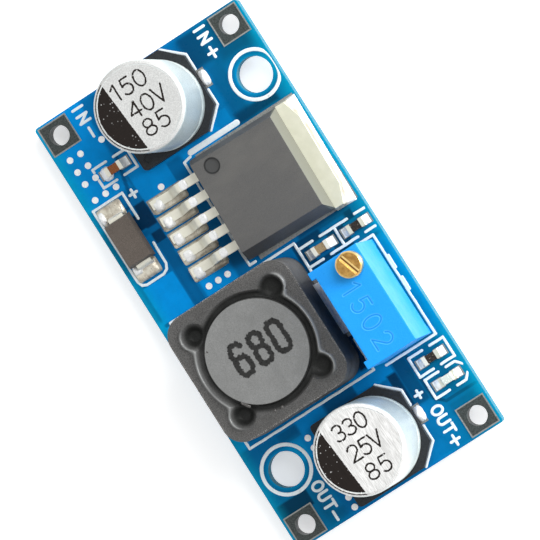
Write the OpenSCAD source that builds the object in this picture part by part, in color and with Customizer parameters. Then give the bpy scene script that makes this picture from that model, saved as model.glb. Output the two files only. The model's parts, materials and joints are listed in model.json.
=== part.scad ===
// Adjustable step-down converter module on a small circuit board.
// The board lies flat with its underside at z = 0 and its outline centred on the origin.
// X runs from the input end to the output end, Y from the minus side to the plus side, Z up.

/* [Board] */
// Length of the board
board_l = 43.2; // [43:0.1:48]
// Width of the board
board_w = 21.1; // [21:0.1:24]
// Thickness of the board
board_t = 1.6; // [1:0.1:2.4]
// Radius of the board's corners
board_corner_r = 0.3; // [0.2:0.1:1]
// Thickness of the tinned lands on the board's faces
land_t = 0.06; // [0.04:0.01:0.1]
// Thickness of the printed ink
ink_t = 0.03; // [0.02:0.01:0.04]
// Width of the printed outlines
ink_w = 0.28; // [0.2:0.02:0.3]

/* [Mounting holes] */
// Diameter of the mounting holes
mount_hole_d = 3.2; // [2.4:0.1:3.4]
// Hole by the input, from the input end of the board
mount_in_inset_x = 6.45; // [6.3:0.05:6.6]
// Hole by the input, from the plus edge of the board
mount_in_inset_y = 2.1; // [2:0.05:2.6]
// Hole by the output, from the output end of the board
mount_out_inset_x = 6.5; // [6.3:0.05:6.6]
// Hole by the output, from the minus edge of the board
mount_out_inset_y = 2.83; // [2.5:0.01:3]
// Width of the printed ring round a mounting hole
mount_ring_w = 0.5; // [0.3:0.05:0.6]
// Bare gap between a mounting hole and its printed ring
mount_ring_gap = 0.2; // [0.1:0.05:0.3]

/* [Wire terminals] */
// Side of a square terminal pad
terminal_pad = 2.85; // [2.6:0.05:3]
// Diameter of a wire hole
wire_hole_d = 1.8; // [1.2:0.1:2]
// Terminal centre from the end of the board
terminal_inset_x = 1.6; // [1.6:0.05:1.8]
// Terminal centre from the side of the board
terminal_inset_y = 1.65; // [1.6:0.05:1.8]
// Thickness of the plated wall inside a hole
plating_t = 0.16; // [0.16:0.01:0.2]

/* [Vias] */
// Diameter of a filled via
via_d = 0.42; // [0.3:0.02:0.5]
// Diameter of the tinned cap on a via
via_cap_d = 0.58; // [0.54:0.02:0.64]

/* [Capacitors] */
// Diameter of a capacitor can
can_d = 8; // [6.3:0.1:8.2]
// Height of a capacitor above its lands
can_h = 10.24; // [6:0.01:12]
// Radius of the can's top edge
can_edge_r = 0.4; // [0.2:0.05:0.8]
// Height of the can's rolled groove above the capacitor's base plate
can_groove_z = 1.05; // [0.9:0.05:1.4]
// Radius of the can's rolled groove
can_groove_r = 0.42; // [0.2:0.02:0.5]
// Side of the square base plate
cap_base_w = 8.3; // [8.2:0.05:8.4]
// Thickness of the base plate
cap_base_t = 0.95; // [0.8:0.05:1.3]
// Depth of the round seat that the can stands in
cap_seat_depth = 0.35; // [0.2:0.05:0.45]
// Cut corners on the plus side of the base plate
cap_base_chamfer = 1.7; // [1:0.1:2]
// Width of a capacitor lead
cap_lead_w = 0.65; // [0.5:0.05:0.9]
// Thickness of a capacitor lead
cap_lead_t = 0.28; // [0.2:0.02:0.35]
// Distance between the two leads where they leave the can
cap_lead_pitch = 3.1; // [2.6:0.1:3.4]
// How far a lead stands out past the base plate
cap_lead_out = 0.4; // [0.2:0.05:0.5]
// Input capacitor's centre from the input end of the board
input_cap_inset = 4.3; // [4.2:0.05:4.4]
// Output capacitor's centre from the output end of the board
output_cap_inset = 4.4; // [4.3:0.05:4.5]
// Input capacitor's place across the board
input_cap_y = 0.08; // [-0.1:0.02:0.1]
// Output capacitor's place across the board
output_cap_y = 0.26; // [0.2:0.02:0.3]

/* [Inductor] */
// Side of the square shield
shield_w = 12.25; // [12:0.05:12.4]
// Height of the inductor above its lands
inductor_h = 7.75; // [6:0.05:8.5]
// Radius of the shield's upright edges
shield_corner_r = 1.9; // [1.2:0.1:2.2]
// Diameter of the shield's bore
shield_bore_d = 10.6; // [10.2:0.1:10.8]
// Radius of the rounded pockets in the corners of the bore
pocket_r = 1.15; // [0.8:0.05:1.3]
// Pocket centre from the inductor's axis, along X and along Y
pocket_at = 3.95; // [3.7:0.05:4]
// Diameter of the drum core's flanges
drum_d = 9.05; // [8.6:0.05:9.4]
// Thickness of a drum flange
drum_flange_t = 1.15; // [0.8:0.05:1.4]
// Diameter of the drum's waist
drum_waist_d = 4.4; // [3.6:0.1:5]
// Diameter of the copper wire
wire_d = 0.8; // [0.5:0.05:0.9]
// Depth of the glue's surface below the top of the shield
glue_sink = 0.3; // [0.1:0.05:0.6]
// Depth that the glue reaches down from its surface
glue_depth = 1.4; // [0.8:0.1:2]
// Thickness of the plate under the cores
inductor_base_t = 0.6; // [0.4:0.05:0.8]
// Width of an inductor terminal
coil_terminal_w = 5; // [4:0.1:5.4]
// Thickness of an inductor terminal
coil_terminal_t = 0.2; // [0.15:0.01:0.3]
// Length of a terminal's foot under the inductor
coil_foot_l = 2.2; // [1.6:0.1:2.6]
// Inductor's place along the board
inductor_x = 5.44; // [5.3:0.02:5.6]
// Inductor's place across the board
inductor_y = -3.03; // [-3.1:0.01:-2.9]

/* [Regulator] */
// Width of the regulator's body where the mould halves meet
reg_w = 10; // [9.6:0.05:10.1]
// Length of the regulator's body where the mould halves meet
reg_l = 8.8; // [8.4:0.05:9]
// Height of the regulator above its lands
reg_h = 4.4; // [4:0.05:4.7]
// How far each long side slopes in towards the top
reg_side_draft = 0.66; // [0.3:0.02:0.8]
// How far each end slopes in towards the top
reg_end_draft = 0.35; // [0.2:0.05:0.5]
// Thickness of the metal tab
reg_tab_t = 1.27; // [1:0.01:1.4]
// Width of the metal tab
reg_tab_w = 10.16; // [9.8:0.02:10.3]
// How far the tab stands out of the body
reg_tab_out = 1.4; // [1.1:0.05:1.5]
// Pitch of the leads
reg_lead_pitch = 1.7; // [1.6:0.01:1.8]
// Width of a lead
reg_lead_w = 0.82; // [0.6:0.02:0.9]
// Thickness of a lead
reg_lead_t = 0.42; // [0.3:0.02:0.5]
// Height of the leads' upper faces where they leave the body
reg_lead_z = 2.72; // [2.4:0.02:2.9]
// Length of a lead from the body to its tip, seen from above
reg_lead_l = 5.05; // [4.8:0.05:5.2]
// Slope of a lead's drop from its shoulder to its foot
reg_lead_angle = 66; // [55:1:80]
// Diameter of the mark in the body's first corner
reg_dimple_d = 1.45; // [0.8:0.05:1.5]
// Angle that the regulator has turned to on its solder
reg_turn = -1.5; // [-2:0.1:2]
// Regulator's place along the board
reg_x = -6.74; // [-6.9:0.02:-6.6]
// Regulator's place across the board
reg_y = 4.05; // [4:0.01:4.1]

/* [Trimmer] */
// Width of the trimmer's housing
trimmer_w = 9.53; // [9.4:0.01:9.6]
// Depth of the trimmer's housing
trimmer_d = 4.83; // [4.7:0.01:4.9]
// Height of the trimmer's housing above the board
trimmer_h = 10.03; // [9.8:0.01:10.4]
// Height of the feet that keep the housing off the board
trimmer_foot_h = 0.3; // [0.2:0.02:0.4]
// How far the ribs at the ends of the back face stand out
trimmer_rib = 0.42; // [0.3:0.02:0.5]
// Width of those ribs
trimmer_rib_w = 0.7; // [0.5:0.05:0.9]
// Thickness of the housing's side and front walls
trimmer_wall = 0.5; // [0.45:0.01:0.55]
// Thickness of the housing's top
trimmer_top_t = 1.2; // [1.1:0.05:1.3]
// Thickness of the poured seal at the housing's foot
trimmer_seal_t = 1.5; // [1.2:0.05:1.6]
// Trimmer's place along the board
trimmer_x = 7.1; // [7.05:0.01:7.15]
// Trimmer's place across the board
trimmer_y = 6.96; // [6.9:0.01:7]
// Screw axis from the housing's nearer side and from its front
screw_inset = 1.27; // [1.2:0.01:1.3]
// Diameter of the screw's head
screw_head_d = 2.3; // [1.9:0.05:2.4]
// Height of the screw's head
screw_head_h = 1.35; // [1:0.05:1.6]
// Width of the screwdriver slot
screw_slot_w = 0.55; // [0.4:0.05:0.7]
// Depth of the screwdriver slot
screw_slot_depth = 0.7; // [0.4:0.05:0.9]
// Angle of the screwdriver slot at rest
screw_slot_turn = 18; // [0:1:90]
// Diameter of the screw's shank in the housing's top
screw_shank_d = 1.5; // [1.3:0.05:1.6]
// Diameter of the worm that turns the wheel
worm_d = 0.84; // [0.8:0.02:0.9]
// Diameter of the pivot at the screw's lower end
screw_pivot_d = 0.6; // [0.5:0.02:0.7]
// Diameter of the rubber ring's cord
o_ring_cord = 0.3; // [0.24:0.02:0.34]
// Teeth on the wheel, one for each turn of the screw
wheel_teeth = 30; // [24:1:36]
// Radius to the tips of the wheel's teeth
wheel_tip_r = 3.25; // [3.1:0.01:3.3]
// Depth of the wheel's teeth
tooth_depth = 0.32; // [0.24:0.02:0.4]
// Thickness of the wheel
wheel_t = 1.2; // [1:0.05:1.3]
// Diameter of the wheel's pivot
wheel_pivot_d = 1.2; // [1:0.05:1.5]
// Thickness of the wiper's spring metal
wiper_t = 0.12; // [0.1:0.01:0.2]
// Thickness of the ceramic element plate
element_t = 0.6; // [0.5:0.02:0.7]
// Thickness of the printed resistive track
track_t = 0.04; // [0.02:0.01:0.06]
// Radius of the resistive track
track_r = 2.3; // [2:0.05:2.5]
// Width of the resistive track
track_w = 0.7; // [0.5:0.05:0.8]
// Pitch of the trimmer's pins
pin_pitch = 2.54; // [2.4:0.01:2.6]
// Diameter of the trimmer's pins
pin_d = 0.5; // [0.4:0.02:0.6]
// How far the pins stand out below the board
pin_out = 1; // [0.6:0.05:1.5]
// Running clearance round the turning pieces
running_gap = 0.05; // [0.03:0.01:0.08]

/* [Diode] */
// Length of the diode's body
diode_l = 4.3; // [4:0.05:4.6]
// Width of the diode's body
diode_w = 2.6; // [2.3:0.05:2.8]
// Height of the diode above its lands
diode_h = 2.1; // [1.8:0.05:2.4]
// Slope of the body's sides, above and below the joint line
diode_draft = 0.16; // [0.1:0.02:0.2]
// Width of a diode lead
diode_lead_w = 1.45; // [1.2:0.05:1.6]
// Thickness of a diode lead
diode_lead_t = 0.2; // [0.15:0.01:0.25]
// How far a diode lead stands out past the body
diode_lead_out = 0.38; // [0.3:0.02:0.5]
// Diode's place along the board
diode_x = -8.88; // [-9:0.02:-8.8]
// Diode's place across the board
diode_y = -8.42; // [-8.5:0.02:-8.3]

/* [Chips] */
// Length of a chip part
chip_l = 1.6; // [1.5:0.02:1.7]
// Width of a chip part
chip_w = 0.82; // [0.7:0.02:0.9]
// Height of a chip resistor
chip_resistor_h = 0.5; // [0.4:0.02:0.6]
// Height of a chip capacitor
chip_capacitor_h = 0.8; // [0.6:0.02:0.9]
// Height of the indicator lamp
lamp_h = 0.62; // [0.5:0.02:0.8]
// Length of a chip's metal end
chip_end_l = 0.36; // [0.25:0.01:0.45]
// Thickness of the metal on a chip's end
chip_end_t = 0.04; // [0.03:0.01:0.06]
// Length of a chip's land
chip_land_l = 1.05; // [0.9:0.05:1.2]
// Gap between a chip's two lands
chip_land_gap = 0.9; // [0.7:0.05:1]

/* [Hidden] */
$fn = 48;

// A small length that carries a cut through a face
over = 0.1;

// Upper face of the lands, which every part stands on
seat_z = board_t + land_t;

// Wire terminals
terminal_x = board_l / 2 - terminal_inset_x;
terminal_y = board_w / 2 - terminal_inset_y;

// Mounting holes, one at each of two opposite corners
mount_in = [-board_l / 2 + mount_in_inset_x, board_w / 2 - mount_in_inset_y];
mount_out = [board_l / 2 - mount_out_inset_x, -board_w / 2 + mount_out_inset_y];
mount_ring_in_r = mount_hole_d / 2 + mount_ring_gap;

// Solder: share of a piece's height that it climbs, and its reach from each kind of piece
solder_climb = 0.8;
cap_fillet_l = 0.26;
cap_fillet_side = 0.15;
coil_fillet_l = 0.4;
coil_fillet_h = 0.9;
reg_lead_fillet_l = 0.16;
reg_tab_fillet_l = 0.4;
diode_fillet_l = 0.5;

// Capacitors
input_cap_at = [-board_l / 2 + input_cap_inset, input_cap_y];
output_cap_at = [board_l / 2 - output_cap_inset, output_cap_y];
can_r = can_d / 2;
can_z = cap_base_t - cap_seat_depth;
can_foot_edge_r = 0.35;
can_foot_r = can_r - can_foot_edge_r;
can_seat_gap = 0.02;
cap_lead_tip = cap_base_w / 2 + cap_lead_out;
cap_lead_y = cap_lead_pitch / 2;
cap_lead_bend = 0.3;
cap_land_w = 1.8;
cap_land_in = 1.3;
cap_land_margin = 0.3;
cap_land_out = cap_lead_tip + cap_land_margin;
cap_outline_margin = 0.07;
cap_outline_w = cap_base_w + 2 * cap_outline_margin;
cap_outline_gap = 2.2;
cap_mark_r = 0.38;
cap_mark_depth = 0.1;
cap_base_corner_r = 0.35;
cap_mark_inset = 0.85;
cap_mark_at = cap_base_w / 2 - cap_mark_inset;

// Inductor
inductor_foot_z = coil_terminal_t;
inductor_core_z = inductor_foot_z + inductor_base_t;
drum_h = inductor_h - inductor_core_z;
winding_h = drum_h - 2 * drum_flange_t;
winding_turns = floor(winding_h / wire_d);
winding_layers = floor((drum_d - drum_waist_d) / 2 / wire_d);
winding_r = drum_waist_d / 2 + (winding_layers - 0.5) * wire_d;
coil_terminal_h = 1.5;
coil_land_l = 3.1;
coil_land_out = 0.45;
coil_land_margin = 0.4;
coil_land_w = coil_terminal_w + 2 * coil_land_margin;
inductor_outline_margin = 0.325;
inductor_outline_w = shield_w + 2 * inductor_outline_margin;
inductor_outline_gap = 0.4;

// Regulator, with its own origin at the middle of its body
reg_part_z = reg_tab_t;
reg_lead_mid_z = reg_lead_z - reg_lead_t / 2;
reg_lead_bend = 0.55;
reg_lead_shoulder = 1.55;
reg_lead_in = 1.1;
reg_tab_chamfer = [1.7, 0.6];
reg_tab_inset = [0.9, 1.4];
reg_tab_rise_l = 1.2;
reg_dimple_depth = 0.12;
reg_dimple_inset = [1, 1.56];
reg_dimple_at = [-reg_w / 2 + reg_side_draft, -reg_l / 2 + reg_end_draft] + reg_dimple_inset;
reg_dimple_z = reg_h - reg_dimple_depth;
reg_lead_land_w = 1.35;
reg_lead_land_l = 3.5;
reg_tip_y = -reg_l / 2 - reg_lead_l;
reg_lead_land_out = 0.2;
reg_lead_land_y = reg_tip_y + reg_lead_land_l / 2 - reg_lead_land_out;
reg_lead_land_shift = -reg_lead_land_y * sin(reg_turn);
reg_land_margin = 0.25;
reg_land_w = reg_tab_w + 2 * reg_land_margin;
reg_land_out = reg_tab_out + 0.45;
reg_land_in = 0.6;
reg_outline_drop = 0.55;
reg_outline_leg = 0.65;
reg_outline_hook = 0.9;
reg_bar_w = 0.62;
reg_bar_l = 5.15;
reg_bar_rise = 0.95;

// Trimmer, with its own origin at the left rear corner of its outline
trimmer_corner = [trimmer_x - trimmer_w / 2, trimmer_y - trimmer_d / 2];
screw_y = trimmer_d - screw_inset;
pin_y = trimmer_d / 2;
pin_hole_gap = 0.2;
pin_hole_d = pin_d + 2 * pin_hole_gap;
pin_pad_ring = 0.45;
pin_pad_d = pin_hole_d + 2 * pin_pad_ring;
pin_cone_angle = 60;
pin_foot_l = 0.7;
element_y = pin_y - pin_d / 2;
cavity_back = element_y - element_t;
cavity_front = trimmer_d - trimmer_wall;
cavity_top = trimmer_h - trimmer_top_t;
seal_top = trimmer_foot_h + trimmer_seal_t;
wheel_back = screw_y - wheel_t / 2;
wheel_x = screw_inset + worm_d / 2 + running_gap + wheel_tip_r;
wheel_z = (seal_top + cavity_top) / 2;
wheel_bore_d = wheel_pivot_d + 2 * running_gap;
wheel_hub_wall = 0.55;
wheel_hub_d = wheel_bore_d + 2 * wheel_hub_wall;
worm_top = cavity_top - running_gap;
// Half widths of a tooth, as shares of the step from tooth to tooth
tooth_root = 0.34;
tooth_tip = 0.14;
bearing_w = 1.7;
bearing_h = 0.8;
bearing_top = seal_top + bearing_h;
shank_groove_d = screw_shank_d - 2 * o_ring_cord;
shank_bore_d = screw_shank_d + 2 * running_gap;
o_ring_z = trimmer_h - trimmer_top_t / 2;
o_ring_r = shank_groove_d / 2 + o_ring_cord / 2;
o_ring_play = 0.04;
screw_top = trimmer_h + running_gap + screw_head_h;
screw_chamfer = 0.15;
track_face = element_y + track_t;
track_gap_angle = 60;
collector_r = 1.15;
contact_d = 0.4;
collector_w = 0.6;
wiper_ring_w = 0.7;
element_margin = 0.1;
trimmer_outline_gap = 0.28;
trimmer_tick_pitch = 2.2;
trimmer_tick_l = 1.2;
element_w = trimmer_w - 2 * trimmer_wall - 2 * element_margin;

// Diode, with its own origin at the middle of its foot
diode_part_z = diode_h / 2;
diode_lead_bend = 0.22;
diode_lead_reach = diode_l / 2 + diode_lead_out - diode_lead_t / 2;
diode_foot_l = 1.1;
diode_land_l = 1.7;
diode_land_w = 1.7;
diode_land_out = 0.75;
diode_outline_gap = 0.72;
diode_outline_opening = 2.3;
diode_lead_in = 0.5;

// Chips, each along Y
chip_outline_w = 1.87;
chip_outline_l = 3.56;
chip_outline_gap = 0.8;
divider_resistor_at = [trimmer_corner[0] - 1.735, board_w / 2 - 1.7];
divider_capacitor_at = divider_resistor_at - [0, chip_outline_l];
lamp_resistor_at = [terminal_x - 6.35, terminal_y - 0.65];
lamp_at = [terminal_x - 4.05, terminal_y - 0.45];
input_filter_at = input_cap_at + [2.35, -6.38];
chip_land_margin = 0.06;
chip_land_w = chip_w + 2 * chip_land_margin;
chip_core_l = chip_l - 2 * chip_end_t;
chip_core_w = chip_w - 2 * chip_end_t;
lamp_base_h = 0.22;
lamp_lens_l = 1.1;
lamp_lens_draft = 0.1;
lamp_outline_cut = 0.5;

// Rows of vias: first via, step to the next, count
via_rows = [
    [[2.35 - terminal_x, 0.7 - terminal_y], [1.23, 0], 3],
    [[2.35 - terminal_x, -0.4 - terminal_y], [1.23, 0], 3],
    [[6.45 - terminal_x, -0.4 - terminal_y], [0, 1.1], 3],
    [input_cap_at + [-0.4, -6.03], [0, 0], 1],
    [[reg_x - 4.66, reg_y - 7.8], [0, 0], 1],
    [[inductor_x - 7.34, inductor_y - 1.82], [0, 0.97], 3],
    [output_cap_at + [-3.4, -4.91], [1, 0], 2],
    [output_cap_at + [2.8, -4.66], [1, 0], 2]
];

// Points of an arc round c, from angle a to angle b in n steps
function arc(c, r, a, b, n = 6) =
    [for (i = [0:n]) c + r * [cos(a + (b - a) * i / n), sin(a + (b - a) * i / n)]];

// Unit vector across a path at its point i
function across(p, i) =
    let (d = p[min(i + 1, len(p) - 1)] - p[max(i - 1, 0)])
    [-d[1], d[0]] / norm(d);

// Outline of a strip of thickness t whose middle follows the path p
function strip(p, t) = concat(
    [for (i = [0:len(p) - 1]) p[i] + t / 2 * across(p, i)],
    [for (i = [len(p) - 1:-1:0]) p[i] - t / 2 * across(p, i)]);

// Path of a gull-wing lead: level from y_in to y_bend at height z_top, down a slope, level to y_tip
function gull(y_in, y_bend, z_top, z_foot, r, slope, y_tip) =
    let (fall = (z_top - z_foot - 2 * r * (1 - cos(slope))) / sin(slope),
         y_foot = y_bend - 2 * r * sin(slope) - fall * cos(slope))
    concat([[y_in, z_top]],
        arc([y_bend, z_top - r], r, 90, 90 + slope),
        arc([y_foot, z_foot + r], r, 270 + slope, 270),
        [[y_tip, z_foot]]);

// Rectangle with round corners, centred
module rounded_square(l, w, r) {
    square([l - 2 * r, w], center = true);
    square([l, w - 2 * r], center = true);
    for (x = [-1, 1], y = [-1, 1])
        translate([x * (l / 2 - r), y * (w / 2 - r)]) circle(r);
}

// Upright plate of a profile drawn in Y and Z, w wide along X and centred
module across_x(w) {
    translate([-w / 2, 0, 0]) rotate([90, 0, 90]) linear_extrude(w) children();
}

// Upright plate of a profile drawn in X and Z, w wide along Y and centred
module across_y(w) {
    translate([0, w / 2, 0]) rotate([90, 0, 0]) linear_extrude(w) children();
}

// Printed line through the points p, with round ends and corners
module ink_line(p, w = ink_w) {
    for (i = [0:len(p) - 2]) {
        d = p[i + 1] - p[i];
        translate(p[i]) rotate(atan2(d[1], d[0])) translate([0, -w / 2]) square([norm(d), w]);
    }
    for (q = p) translate(q) circle(d = w, $fn = 16);
}

// Flat land on the board, centred on p
module land(p, size) {
    translate([p[0], p[1], board_t]) linear_extrude(land_t) square(size, center = true);
}

// Hollow-faced solder fillet: it stands w wide on a land, reaches l out along -Y and rises h
module fillet(w, l, h) {
    curve = [for (a = [0:15:90]) [-l * (1 - cos(a)), h * (1 - sin(a))]];
    across_x(w) polygon(concat([[0, 0]], curve));
}

// ---- Board ----

module board() {
    color("#1273b9") difference() {
        linear_extrude(board_t) rounded_square(board_l, board_w, board_corner_r);
        for (p = [mount_in, mount_out])
            translate([p[0], p[1], -over]) cylinder(h = board_t + 2 * over, d = mount_hole_d);
        for (x = [-1, 1], y = [-1, 1])
            translate([x * terminal_x, y * terminal_y, -over])
                cylinder(h = board_t + 2 * over, d = wire_hole_d + 2 * plating_t);
        at_pins() translate([0, 0, -over]) cylinder(h = board_t + 2 * over, d = pin_hole_d);
        at_vias() translate([0, 0, -over]) cylinder(h = board_t + 2 * over, d = via_d);
    }
}

// Children at each trimmer pin, on the board's underside
module at_pins() {
    for (i = [-1:1])
        translate([trimmer_x + i * pin_pitch, trimmer_corner[1] + pin_y, 0]) children();
}

// Children at each via, on the board's underside
module at_vias() {
    for (row = via_rows, i = [0:row[2] - 1]) translate(row[0] + i * row[1]) children();
}

// Plated hole with a square pad on each face, at the corner with signs x and y
module terminal(x, y) {
    color("#b9bcbd") translate([x * terminal_x, y * terminal_y, 0]) difference() {
        union() {
            translate([0, 0, -land_t])
                cylinder(h = board_t + 2 * land_t, d = wire_hole_d + 2 * plating_t);
            for (z = [-land_t, board_t])
                translate([0, 0, z]) linear_extrude(land_t) square(terminal_pad, center = true);
        }
        translate([0, 0, -over - land_t])
            cylinder(h = board_t + 2 * (over + land_t), d = wire_hole_d);
    }
}

module via_plugs() {
    color("#e6e8e6") at_vias() {
        cylinder(h = board_t, d = via_d);
        for (z = [-land_t, board_t]) translate([0, 0, z]) cylinder(h = land_t, d = via_cap_d);
    }
}

module solder_lands() {
    color("#c8cac8") {
        capacitor_lands(input_cap_at);
        capacitor_lands(output_cap_at);
        for (y = [-1, 1])
            land([inductor_x, inductor_y + y * (shield_w / 2 + coil_land_out - coil_land_l / 2)],
                [coil_land_w, coil_land_l]);
        land([reg_x, reg_y + (reg_land_out + reg_land_in) / 2],
            [reg_land_w, reg_l + reg_land_out - reg_land_in]);
        for (i = [-2:2])
            land([reg_x + i * reg_lead_pitch + reg_lead_land_shift,
                reg_y + reg_lead_land_y], [reg_lead_land_w, reg_lead_land_l]);
        for (x = [-1, 1])
            land([diode_x + x * (diode_lead_reach + diode_land_out - diode_land_l / 2), diode_y],
                [diode_land_l, diode_land_w]);
        for (p = [divider_resistor_at, divider_capacitor_at, lamp_resistor_at, lamp_at,
                input_filter_at])
            for (y = [-1, 1])
                land(p + [0, y * (chip_land_gap + chip_land_l) / 2], [chip_land_w, chip_land_l]);
        at_pins() for (z = [-land_t, board_t]) translate([0, 0, z]) difference() {
            cylinder(h = land_t, d = pin_pad_d);
            translate([0, 0, -over]) cylinder(h = land_t + 2 * over, d = pin_hole_d);
        }
    }
}

module capacitor_lands(p) {
    for (y = [-1, 1])
        land(p + [0, y * (cap_land_in + cap_land_out) / 2],
            [cap_land_w, cap_land_out - cap_land_in]);
}

module solder_joints() {
    color("#d9dbd8") {
        for (p = [input_cap_at, output_cap_at], y = [0, 1])
            translate([p[0], p[1], seat_z]) rotate(y * 180) translate([0, -cap_lead_tip, 0])
                fillet(cap_lead_w + 2 * cap_fillet_side, cap_fillet_l, cap_lead_t);
        for (y = [0, 1])
            translate([inductor_x, inductor_y, seat_z]) rotate(y * 180)
                translate([0, -shield_w / 2, 0])
                fillet(coil_terminal_w, coil_fillet_l, coil_fillet_h);
        at_regulator() {
            for (i = [-2:2])
                translate([i * reg_lead_pitch, reg_tip_y, 0])
                    fillet(reg_lead_w, reg_lead_fillet_l, reg_lead_t * solder_climb);
            translate([0, reg_l / 2 + reg_tab_out, 0]) rotate(180)
                fillet(reg_tab_w - 2 * reg_tab_chamfer[0], reg_tab_fillet_l,
                    reg_tab_t * solder_climb);
        }
        for (x = [-1, 1])
            translate([diode_x, diode_y, seat_z]) rotate(x * 90)
                translate([0, -diode_lead_reach - diode_lead_t / 2, 0])
                fillet(diode_lead_w, diode_fillet_l, diode_part_z * solder_climb);
        chip_fillets(divider_resistor_at, chip_resistor_h);
        chip_fillets(divider_capacitor_at, chip_capacitor_h);
        chip_fillets(lamp_resistor_at, chip_resistor_h);
        chip_fillets(lamp_at, lamp_base_h);
        chip_fillets(input_filter_at, chip_capacitor_h);
        at_pins() rotate_extrude() polygon(concat(
            [[pin_d / 2, board_t + land_t], [pin_d / 2, -pin_out * solder_climb]],
            arc([pin_pad_d / 2, -pin_out * solder_climb],
                (pin_pad_d - pin_d) / 2, 180, 180 - pin_cone_angle, 4),
            [[pin_pad_d / 2, -land_t], [pin_hole_d / 2, -land_t],
                [pin_hole_d / 2, board_t + land_t]]));
    }
}

module chip_fillets(p, h) {
    out = (chip_land_gap - chip_l) / 2 + chip_land_l;
    for (y = [0, 1])
        translate([p[0], p[1], seat_z]) rotate(y * 180) translate([0, -chip_l / 2, 0])
            fillet(chip_w, out * solder_climb, h * solder_climb);
}

// ---- Printing ----

module printed_outlines() {
    color("white") translate([0, 0, board_t]) linear_extrude(ink_t) {
        capacitor_outline(input_cap_at);
        capacitor_outline(output_cap_at);
        inductor_outline();
        regulator_outline();
        trimmer_outline();
        diode_outline();
        intersection() {
            rounded_square(board_l, board_w, board_corner_r);
            chip_outline(divider_resistor_at, 0);
        }
        chip_outline(divider_capacitor_at, 0);
        chip_outline(lamp_resistor_at, 0);
        chip_outline(lamp_at, lamp_outline_cut);
        difference() {
            chip_outline(input_filter_at, 0);
            at_vias() circle(d = via_cap_d + 2 * over);
        }
        for (p = [mount_in, mount_out]) intersection() {
            rounded_square(board_l, board_w, board_corner_r);
            translate(p) difference() {
                circle(mount_ring_in_r + mount_ring_w);
                circle(mount_ring_in_r);
            }
        }
    }
}

// Cut-cornered outline on the plus side, open where the lead comes out
module capacitor_outline(p) {
    w = cap_outline_w / 2;
    for (x = [-1, 1])
        ink_line([p + [x * cap_outline_gap / 2, w], p + [x * (w - cap_base_chamfer), w],
            p + [x * (w - ink_w / 4), w - cap_base_chamfer]]);
}

module inductor_outline() {
    w = inductor_outline_w / 2;
    g = coil_land_w / 2 + inductor_outline_gap;
    for (x = [-1, 1])
        ink_line([[inductor_x + x * g, inductor_y + w],
            [inductor_x + x * w, inductor_y + w], [inductor_x + x * w, inductor_y - w],
            [inductor_x + x * g, inductor_y - w]]);
}

module regulator_outline() {
    x = reg_x - reg_land_w / 2;
    y = reg_y - reg_l / 2 - reg_outline_drop;
    inner = x + reg_land_w - reg_outline_hook;
    outer = x + reg_land_w - over;
    bar_x = x - reg_bar_w / 2 - over;
    ink_line([[bar_x, y + reg_bar_rise], [bar_x, y + reg_bar_rise + reg_bar_l]], reg_bar_w);
    ink_line([[x - over, y + reg_outline_leg], [x + over, y], [inner, y],
        [inner, y + reg_outline_leg]]);
    ink_line([[inner, y + over], [outer, y + over], [outer, y + reg_outline_leg]]);
}

module trimmer_outline() {
    w = trimmer_w / 2 + trimmer_outline_gap;
    y = trimmer_corner[1] + trimmer_d + trimmer_outline_gap;
    foot = y - trimmer_d - trimmer_outline_gap;
    ink_line([[trimmer_x - w, foot], [trimmer_x - w, y], [trimmer_x + w, y],
        [trimmer_x + w, foot]]);
    for (i = [1, 2]) translate([trimmer_x - w + i * trimmer_tick_pitch, y + 0.7 * ink_w])
        ink_line([[0, 0], [trimmer_tick_l, 0]]);
}

module diode_outline() {
    x = diode_lead_reach + diode_land_out + diode_outline_gap;
    y = diode_land_w / 2 + diode_outline_gap;
    g = diode_outline_opening / 2;
    translate([diode_x, diode_y])
        ink_line([[-g, y], [-x, y], [-x, -y], [x, -y], [x, y], [g, y]]);
}

// Two brackets that face each other, the upper one with its corners cut by c
module chip_outline(p, c) {
    x = chip_outline_w / 2;
    y = chip_outline_l / 2;
    g = chip_outline_gap / 2;
    if (c > 0)
        for (s = [-1, 1]) ink_line([p + [s * x, g], p + [s * x, y - c], p + [s * (x - c), y]]);
    else
        ink_line([p + [-x, g], p + [-x, y], p + [x, y], p + [x, g]]);
    ink_line([p + [-x, -g], p + [-x, -y], p + [x, -y], p + [x, -g]]);
}

// ---- Capacitors ----

// Children in a capacitor's own frame, standing on its lands
module at_capacitor(p) {
    translate([p[0], p[1], seat_z]) children();
}

// Closed can: flat foot, rolled groove, straight wall and round top edge
module capacitor_can(p) {
    groove_z = cap_base_t + can_groove_z;
    color("#d4d6d4") at_capacitor(p) rotate_extrude() polygon(concat(
        [[0, can_z], [can_foot_r, can_z]],
        arc([can_foot_r, can_z + can_foot_edge_r], can_foot_edge_r, 270, 360),
        arc([can_r, groove_z], can_groove_r, 270, 90, 8),
        arc([can_r - can_edge_r, can_h - can_edge_r], can_edge_r, 0, 90),
        [[0, can_h]]));
}

// Square plate with two cut corners, a round seat for the can and a slot under each lead
module capacitor_base(p) {
    w = cap_base_w / 2;
    c = cap_base_chamfer;
    r = cap_base_corner_r;
    color("#222222") at_capacitor(p) difference() {
        linear_extrude(cap_base_t) polygon(concat(
            [[w, w - c], [w - c, w], [-w + c, w], [-w, w - c]],
            arc([-w + r, -w + r], r, 180, 270, 4),
            arc([w - r, -w + r], r, 270, 360, 4)));
        translate([0, 0, can_z]) cylinder(h = cap_base_t, r = can_r + can_seat_gap);
        for (s = [-1, 1]) {
            capacitor_lead_form(s);
            translate([s * cap_mark_at, -cap_mark_at, cap_base_t - cap_mark_depth])
                cylinder(h = cap_base_t, r = cap_mark_r);
        }
    }
}

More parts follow.
